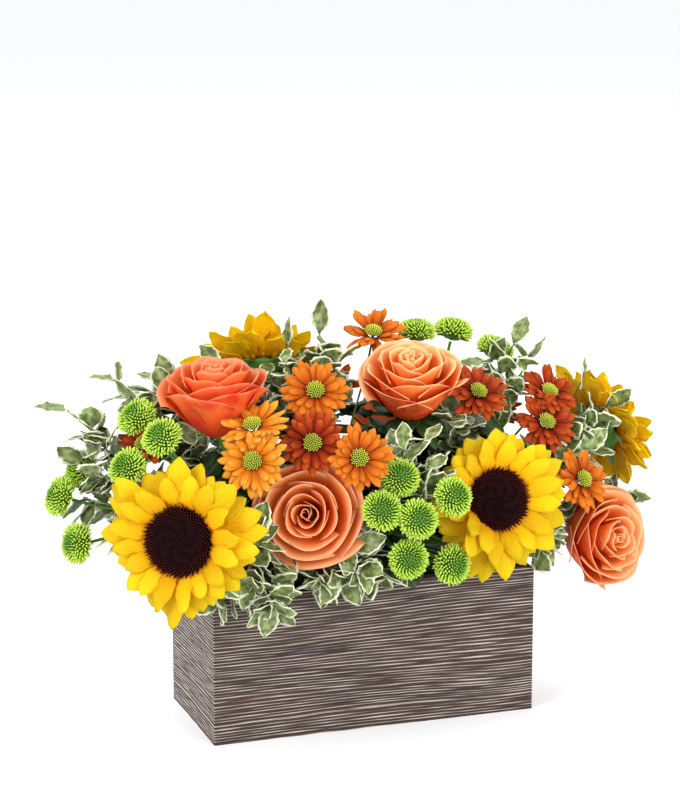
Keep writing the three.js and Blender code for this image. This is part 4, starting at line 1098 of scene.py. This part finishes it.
class CENTERPIECE_OT_roses(bpy.types.Operator):
    """Grow the roses' petals in spirals that roll out at their rims"""
    bl_idname = "centerpiece.roses"
    bl_label = "Rose Petals"
    bl_options = {"REGISTER", "UNDO"}

    def execute(self, context):
        mat, recipe = rose_material(context.scene.centerpiece_sizes.rose), rose_recipe()
        for index, (name, (at, heading, lift, turn, blush)) in enumerate(ROSES.items()):
            node = f"rose_{name}_bloom"
            m = bloom_frame(at, heading, lift, turn) @ Matrix.Translation((0, 0, -ROSE_DEPTH))
            others = obstacles(node, f"rose_{name}_stem")
            rows = rose_petals(m, others, seeded_draw(ROSE_SEED + index), blush)
            mesh = recipe.run(f"rose_petals_{name}", rows, mat, Across=15, Along=13, Thickness=0.5)
            mesh.transform(Matrix.Scale(MM, 4) @ m @ Matrix.Scale(1 / MM, 4))
            finished(new_object(f"rose_{name}_petals", mesh), node)
        return {"FINISHED"}


# ---- daisy and button mums


def daisy_rays(m, tree, draw, extra):
    """Blades of a daisy's petals: those of the solid, each with two more beside it."""
    blades = []
    for k in range(DAISY_PETALS):
        angle = k * 360 / DAISY_PETALS + draw(-1.5, 1.5)
        length = DAISY_LENGTH * draw(0.92, 1.08)
        up = (22, 2)[k % 2] + draw(-5, 5)
        curl = draw(-24, -6)
        turn = m @ turned(angle)
        bent = nearest_bend(tree, turn, DAISY_ROOT, length, up, curl, DAISY_BENDS)
        if not bent:
            continue
        bend, share = bent
        blades.append(petal(turn, 4.2, length * share + 0.4, up + bend, curl, DAISY_WIDTH,
                            extra(0, 1), extra(-0.4, 0.4)))
        for shift, reach, higher, width in DAISY_MORE:
            turn = m @ turned(angle + shift + extra(-3, 3))
            blades.append(petal(turn, 4.0, length * share * reach * extra(0.88, 1.04),
                                up + bend * 0.9 + higher + extra(-3, 4), curl, width,
                                extra(0, 1), extra(-0.4, 0.4)))
    return blades


def eye_florets(m, total, extra):
    """Rows for the florets of a daisy's eye, on a spiral over its dome."""
    rows = []
    for share, angle in spiral(total):
        local = spoke(angle, EYE_RADIUS * share, EYE_TOP - EYE_DROP * share * share)
        aim = m.to_3x3() @ spoke(angle, share, 1.4).normalized()
        rows.append({"place": m @ local * MM, "aim": tuple(aim), "girth": 1.3,
                     "length": 1.2 + extra(0, 0.5)})
    return rows


class CENTERPIECE_OT_daisies(bpy.types.Operator):
    """Grow the daisy mums: petals, eyes and branched stems"""
    bl_idname = "centerpiece.daisies"
    bl_label = "Daisy Mums"
    bl_options = {"REGISTER", "UNDO"}

    def execute(self, context):
        props = context.scene.centerpiece_sizes
        mats = {
            "orange": petal_material("daisy_orange", "#A83A10", props.daisy_orange, "#F79A30",
                                     "#A8340C", 0.95, 0.25, 0.66),
            "red": petal_material("daisy_red", "#7C1C0E", props.daisy_red, "#E06A24", "#7A160A",
                                  0.95, 0.25, 0.66),
            "gold": petal_material("daisy_gold", "#CE6410", props.daisy_gold, "#FFBE48", "#C04E0C",
                                   0.85, 0.25, 0.6),
        }
        eye, stem = eye_material(), plain_plant("daisy_stem", "#55802F", "#375820")
        bodies = {}
        for number, (spray, heads) in enumerate(DAISIES.items()):
            eyes = []
            for index, (body, at, heading, lift, colour) in enumerate(heads):
                step = 10 * number + index
                draw, extra = seeded_draw(DAISY_SEED + step), seeded_draw(DAISY_DETAIL_SEED + step)
                m, tree = bloom_frame(at, heading, lift), tree_of([f"daisy_{body}_petals"])
                bodies.setdefault((body, colour), []).extend(daisy_rays(m, tree, draw, extra))
                eyes += eye_florets(m, props.eye_florets, extra)
            node = f"daisy_{spray}_stems_and_eyes"
            grown = floret_recipe().run(f"eyes_{spray}", eyes, eye, Sides=5, Tip=0.2)
            green = with_dark_leaves(f"daisy_{spray}_green", [grown, cad_rest(node, stem)], node,
                                     56, DAISY_DARK_SEED + number)
            finished(green, node)
        for (body, colour), blades in bodies.items():
            mesh = blade_recipe("spoon").run(f"spoons_{body}", blades, mats[colour], Across=7,
                                             Along=9, Thickness=props.petal_thickness / MM,
                                             Cup=0.34, Ruffle=0.15, Ribs=0.3)
            finished(new_object(f"daisy_{body}_rays", mesh), f"daisy_{body}_petals")
        return {"FINISHED"}


def button_florets(m, total, draw):
    """Rows for a button mum's florets, on a spiral down its ball."""
    rows = []
    for k in range(total):
        share = (k + 0.5) / total
        level = 1 - share * FLORET_BAND
        flat = math.sqrt(max(0, 1 - level * level))
        ball = spoke(k * GOLDEN, flat, level)
        stray = Vector((draw(-0.2, 0.2), draw(-0.2, 0.2), draw(-0.2, 0.2)))
        aim = (ball + Vector((0, 0, 0.35 * flat)) + stray).normalized()
        start = Vector((ball.x * FLORET_RADIUS, ball.y * FLORET_RADIUS, ball.z * FLORET_HEIGHT))
        rows.append({
            "place": m @ start * MM, "aim": tuple(m.to_3x3() @ aim),
            "girth": 1.3 + 0.8 * min(1, share * 2),
            "length": (2.0 + 2.1 * min(1, share * 2.5)) * draw(0.72, 1.2),
            "ring": min(1, share * 1.6),
        })
    return rows


def button_ball(m, mat):
    """The squashed ball under a button mum's florets."""
    bm = bmesh.new()
    place = Matrix.Scale(MM, 4) @ m @ Matrix.Diagonal((1, 1, BALL_SQUASH, 1))
    bmesh.ops.create_icosphere(bm, subdivisions=2, radius=BALL_RADIUS, matrix=place)
    ball = bpy.data.meshes.new("ball")
    bm.to_mesh(ball)
    bm.free()
    return painted(ball, mat)


class CENTERPIECE_OT_buttons(bpy.types.Operator):
    """Cover the button mums with packed florets"""
    bl_idname = "centerpiece.buttons"
    bl_label = "Button Mums"
    bl_options = {"REGISTER", "UNDO"}

    def execute(self, context):
        props = context.scene.centerpiece_sizes
        mat, stem = button_material(props.button), plain_plant("button_stem", "#6C9A3A", "#46702A")
        for number, (spray, heads) in enumerate(BUTTONS.items()):
            node = f"button_{spray}_spray"
            centres = [Vector(head) for head in heads]
            middle = sum(centres, Vector()) / len(centres)
            source = Vector((middle.x * 0.5, middle.y * 0.2, FOAM_TOP))
            draw, rows, balls = seeded_draw(BUTTON_SEED), [], []
            co, tris = welded(node)
            in_head = np.zeros(len(co), bool)
            for centre in centres:
                turn = (centre - source).normalized().to_track_quat("Z", "Y").to_matrix()
                m = Matrix.Translation(centre) @ turn.to_4x4()
                rows += button_florets(m, props.button_florets, draw)
                balls.append(button_ball(m, mat))
                in_head |= np.linalg.norm(co - np.array(centre), axis=1) < HEAD_REACH
            grown = floret_recipe().run(f"florets_{spray}", rows, mat, Sides=4, Tip=0.22)
            rest = cad_rest(node, stem, tris[~in_head[tris].all(axis=1)])
            mums = with_dark_leaves(f"button_{spray}_mums", [grown, rest, *balls], node, 36,
                                    BUTTON_DARK_SEED + number)
            finished(mums, node)
        return {"FINISHED"}


# ---- foliage

Leaf = namedtuple("Leaf", "points side1 side2 size corners foot_ring")


def closest_pairs(co, ring, joined_by=None):
    """The corners of a ring in pairs, nearest first: (distance, one, other)."""
    return sorted((np.linalg.norm(co[a] - co[b]), a, b) for a in ring for b in ring
                  if a < b and (joined_by is None or b in joined_by[a]))


def read_leaves(co, tris):
    """Leaves of a foliage solid: each tip has four neighbours, then come rings of four corners."""
    around, faces = [set() for _ in co], [0] * len(co)
    for corners in tris:
        for v in corners:
            around[v] |= set(corners) - {v}
            faces[v] += 1
    leaves = []
    for v, near in enumerate(around):
        if len(near) != 4 or faces[v] != 4:
            continue
        pairs = closest_pairs(co, near, around)
        if len(pairs) < 4 or not LEAF_THIN <= pairs[1][0] <= LEAF_THICK:
            continue
        (_, a, b), (_, c, d) = pairs[:2]
        one, two = (co[a] + co[b]) / 2, (co[c] + co[d]) / 2
        width = np.linalg.norm(one - two)
        if {a, b} & {c, d} or width < LEAF_NARROW:
            continue
        mid2, tip, size, side2 = (one + two) / 2, co[v], width / 10, (two - one) / width
        leaf = lower_leaf(co, around, {a, b, c, d}, v, mid2, side2, size)
        if leaf is None:
            # a leaf that is cut short: its lower half is the upper half carried on
            whole = (mid2 - tip) / (1 - LEAF_MIDDLES[1])
            lower = tip + whole, tip + whole * (1 - LEAF_MIDDLES[0])
            leaf = lower, side2, {a, b, c, d, v}, set()
        lower, side1, corners, foot_ring = leaf
        points = [Vector(p) for p in (*lower, mid2, tip)]
        leaves.append(Leaf(points, Vector(side1), Vector(side2), size, corners, foot_ring))
    return leaves


def lower_leaf(co, around, ring2, tip, mid2, side2, size):
    """Foot, lower middle and side of a leaf, from the next ring of corners; none without one."""
    ring1 = set().union(*(around[k] for k in ring2)) - ring2 - {tip}
    if len(ring1) != 4:
        return None
    (_, p, q), (_, r, s) = closest_pairs(co, ring1)[:2]
    if {p, q} & {r, s}:
        return None
    e, f = (co[p] + co[q]) / 2, (co[r] + co[s]) / 2
    if (f - e) @ side2 < 0:
        e, f = f, e
    mid1 = (e + f) / 2
    foot_ring = set().union(*(around[k] for k in ring1)) - ring1 - ring2
    foot = co[list(foot_ring)].mean(axis=0) if len(foot_ring) == 4 else None
    if foot is None or np.linalg.norm(foot - mid1) > 14 * size:
        foot = mid1 + (mid1 - mid2)
    return (foot, mid1), (f - e) / np.linalg.norm(f - e), ring1 | ring2 | {tip}, foot_ring


def twig_direction(corners):
    """The unit direction of the longer sides of a small four-cornered face, not its diagonals."""
    edges = [a - b for a in corners for b in corners if a != b]
    best = max(edges, key=lambda edge: edge.length if edge.length <= TWIG_DIAGONAL else 0.0)
    return best.normalized() if best.z >= 0 else -best.normalized()


def further_leaves(leaf, co, stems, others, taken, draw):
    """Copies of a leaf turned round its twig and down along it, each with its foot on the stem."""
    if len(leaf.foot_ring) != 4:
        return []
    blades, points = [], leaf.points
    along = twig_direction([Vector(co[k]) for k in leaf.foot_ring])
    out = points[1] - points[0]
    out = (out - along * out.dot(along)).normalized()
    hub = points[0] - out * TWIG_RADIUS
    for level in range(WHORLS):
        for turn in range(WHORL):
            angle = math.radians(turn * 360 / WHORL + level * WHORL_TURN + draw(-16, 16))
            spin = Matrix.Rotation(angle, 3, along)
            shrink = draw(0.72, 1.0)
            moved = [hub + spin @ (p - hub) - along * WHORL_STEP * level for p in points]
            near = stems.find_nearest(moved[0])
            if near[0] is None or near[3] > TWIG_NEAR:
                continue
            fresh = [near[0] + (p - moved[0]) * shrink for p in moved]
            side, margin = spin @ leaf.side1, 5.8 * leaf.size * shrink
            probes = [p + side * d for p in fresh[1:] for d in (-margin, 0, margin)]
            way = fresh[3] - fresh[0]
            if (min((fresh[2] - p).length for p in taken) < LEAF_SPACING
                    or min(p.z for p in probes) < LEAF_FLOOR or room(others, probes) < LEAF_ROOM
                    or others.ray_cast(fresh[0], way.normalized(), way.length)[0] is not None):
                continue
            taken.append(fresh[2])
            blades.append(blade(fresh, side, spin @ leaf.side2, 7.2 * leaf.size * shrink,
                                draw(0, 1), *LEAF_MIDDLES))
    return blades


class CENTERPIECE_OT_foliage(bpy.types.Operator):
    """Grow the variegated leaves on their twigs, with further leaves in the same whorls"""
    bl_idname = "centerpiece.foliage"
    bl_label = "Variegated Foliage"
    bl_options = {"REGISTER", "UNDO"}

    def execute(self, context):
        props = context.scene.centerpiece_sizes
        mat = leaf_material(props.cream)
        twig = plain_plant("twig", "#4A3A24", "#2A1812", 0.55)
        sprays = sorted(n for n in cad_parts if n.startswith("foliage_"))
        for number, node in enumerate(sprays):
            co, tris = welded(node)
            leaves, draw = read_leaves(co, tris), seeded_draw(LEAF_SEED + number)
            blades = [blade(leaf.points, leaf.side1, leaf.side2, 7.3 * leaf.size, draw(0, 1),
                            *LEAF_MIDDLES) for leaf in leaves]
            of_leaf = np.zeros(len(co), bool)
            of_leaf[[k for leaf in leaves for k in leaf.corners]] = True
            twigs = tris[~of_leaf[tris].any(axis=1)]
            stems = BVHTree.FromPolygons([tuple(c) for c in co], twigs.tolist())
            others, taken = obstacles(node), [leaf.points[2] for leaf in leaves]
            for leaf in leaves:
                blades += further_leaves(leaf, co, stems, others, taken, draw)
            blades += inner_leaves(node, 34, SPRIG_LEAF_SEED + number, small=0.72, reach=1.5,
                                   high=245)
            if node in OPEN_SPRAYS:
                blades += inner_leaves(node, 30, OPEN_LEAF_SEED + number, small=0.8, reach=2.5,
                                       low=140, high=250)
            grown = blade_recipe("leaf").run(f"leaves_{number}", blades, mat, Across=7, Along=12,
                                             Thickness=props.leaf_thickness / MM, Cup=0.14,
                                             Ruffle=0.45, Ribs=-0.2, Teeth=0.1)
            sprigs = joined(node.replace("_spray", "_sprigs"), [grown, cad_rest(node, twig, twigs)])
            finished(sprigs, node)
        return {"FINISHED"}


# ---- stage

# name: (place in metres, width in metres, watts); all look at the middle of the bouquet
LIGHTS = {
    "key": ((-2.15, -1.05, 1.65), 1.2, 50),
    "fill": ((0.9, -2.1, 0.8), 1.4, 36),
    "top": ((0.1, 0.9, 2.0), 1.4, 22),
}
LIT_SPOT = (0, 0, 0.15)
CAMERA_PLACE = (-0.593, -1.707, 0.643)
CAMERA_DROP, CAMERA_TURN = 13.21, -18.90  # degrees below level, degrees round z
FLOOR_HALF, FLOOR_GLOW = 6, 0.26
SENSOR_WIDTH, CLIP_END = 36, 30


class CENTERPIECE_OT_stage(bpy.types.Operator):
    """Set the pale floor, the soft studio light and the camera at the photograph's angle"""
    bl_idname = "centerpiece.stage"
    bl_label = "Stage"
    bl_options = {"REGISTER", "UNDO"}

    def execute(self, context):
        scene = context.scene
        far = FLOOR_HALF / MM
        mesh = mesh_from("floor", [(-far, -far, 0), (far, -far, 0), (far, far, 0), (-far, far, 0)],
                         [(0, 1, 2, 3)])
        # matt white floor, with a glow that holds it near the paper white of the background
        paint = Paint("floor_white", 0.9, 0.1)
        paint.bsdf.inputs["Emission Color"].default_value = (1, 1, 1, 1)
        paint.bsdf.inputs["Emission Strength"].default_value = FLOOR_GLOW
        pieces = [new_object("floor", painted(mesh, paint.done("#D6D7D9")))]
        scene.world = bpy.data.worlds.new("studio")
        scene.world.use_nodes = True
        back = scene.world.node_tree.nodes["Background"]
        back.inputs["Color"].default_value = (1, 1, 1, 1)
        back.inputs["Strength"].default_value = 1.0
        for name, (at, width, power) in LIGHTS.items():
            lamp = bpy.data.lights.new(name, "AREA")
            lamp.size, lamp.energy = width, power
            obj = new_object(name, lamp)
            turn = (Vector(at) - Vector(LIT_SPOT)).to_track_quat("Z", "Y").to_matrix().to_4x4()
            obj.matrix_world = Matrix.Translation(at) @ turn
            pieces.append(obj)
        cam = bpy.data.cameras.new("camera")
        cam.sensor_width, cam.clip_end = SENSOR_WIDTH, CLIP_END
        cam.lens = scene.centerpiece_sizes.lens
        scene.camera = new_object("camera", cam)
        turn = Euler((math.radians(90 - CAMERA_DROP), 0, math.radians(CAMERA_TURN)))
        scene.camera.matrix_world = Matrix.Translation(CAMERA_PLACE) @ turn.to_matrix().to_4x4()
        scene.view_settings.view_transform = "Standard"
        return {"FINISHED"}


# ---- add-on


class CENTERPIECE_PT_panel(bpy.types.Panel):
    """The centerpiece's pieces"""
    bl_label = "Centerpiece"
    bl_idname = "CENTERPIECE_PT_panel"
    bl_space_type = "VIEW_3D"
    bl_region_type = "UI"
    bl_category = "Centerpiece"

    def draw(self, context):
        for key in CenterpieceSizes.__annotations__:
            self.layout.prop(context.scene.centerpiece_sizes, key)
        for operator in OPERATORS:
            self.layout.operator(operator.bl_idname)


OPERATORS = (
    CENTERPIECE_OT_box, CENTERPIECE_OT_sunflower_discs, CENTERPIECE_OT_sunflower_petals,
    CENTERPIECE_OT_green_stems, CENTERPIECE_OT_roses, CENTERPIECE_OT_daisies,
    CENTERPIECE_OT_buttons, CENTERPIECE_OT_foliage, CENTERPIECE_OT_stage,
)


def register():
    for cls in (CenterpieceSizes, *OPERATORS, CENTERPIECE_PT_panel):
        bpy.utils.register_class(cls)
    bpy.types.Scene.centerpiece_sizes = PointerProperty(type=CenterpieceSizes)


def unregister():
    del bpy.types.Scene.centerpiece_sizes
    for cls in (CENTERPIECE_PT_panel, *reversed(OPERATORS), CenterpieceSizes):
        bpy.utils.unregister_class(cls)


def main():
    register()
    for operator in OPERATORS:
        group, name = operator.bl_idname.split(".")
        if getattr(getattr(bpy.ops, group), name)() != {"FINISHED"}:
            raise RuntimeError(f"{operator.bl_label} was not finished")


if __name__ == "__main__":
    main()
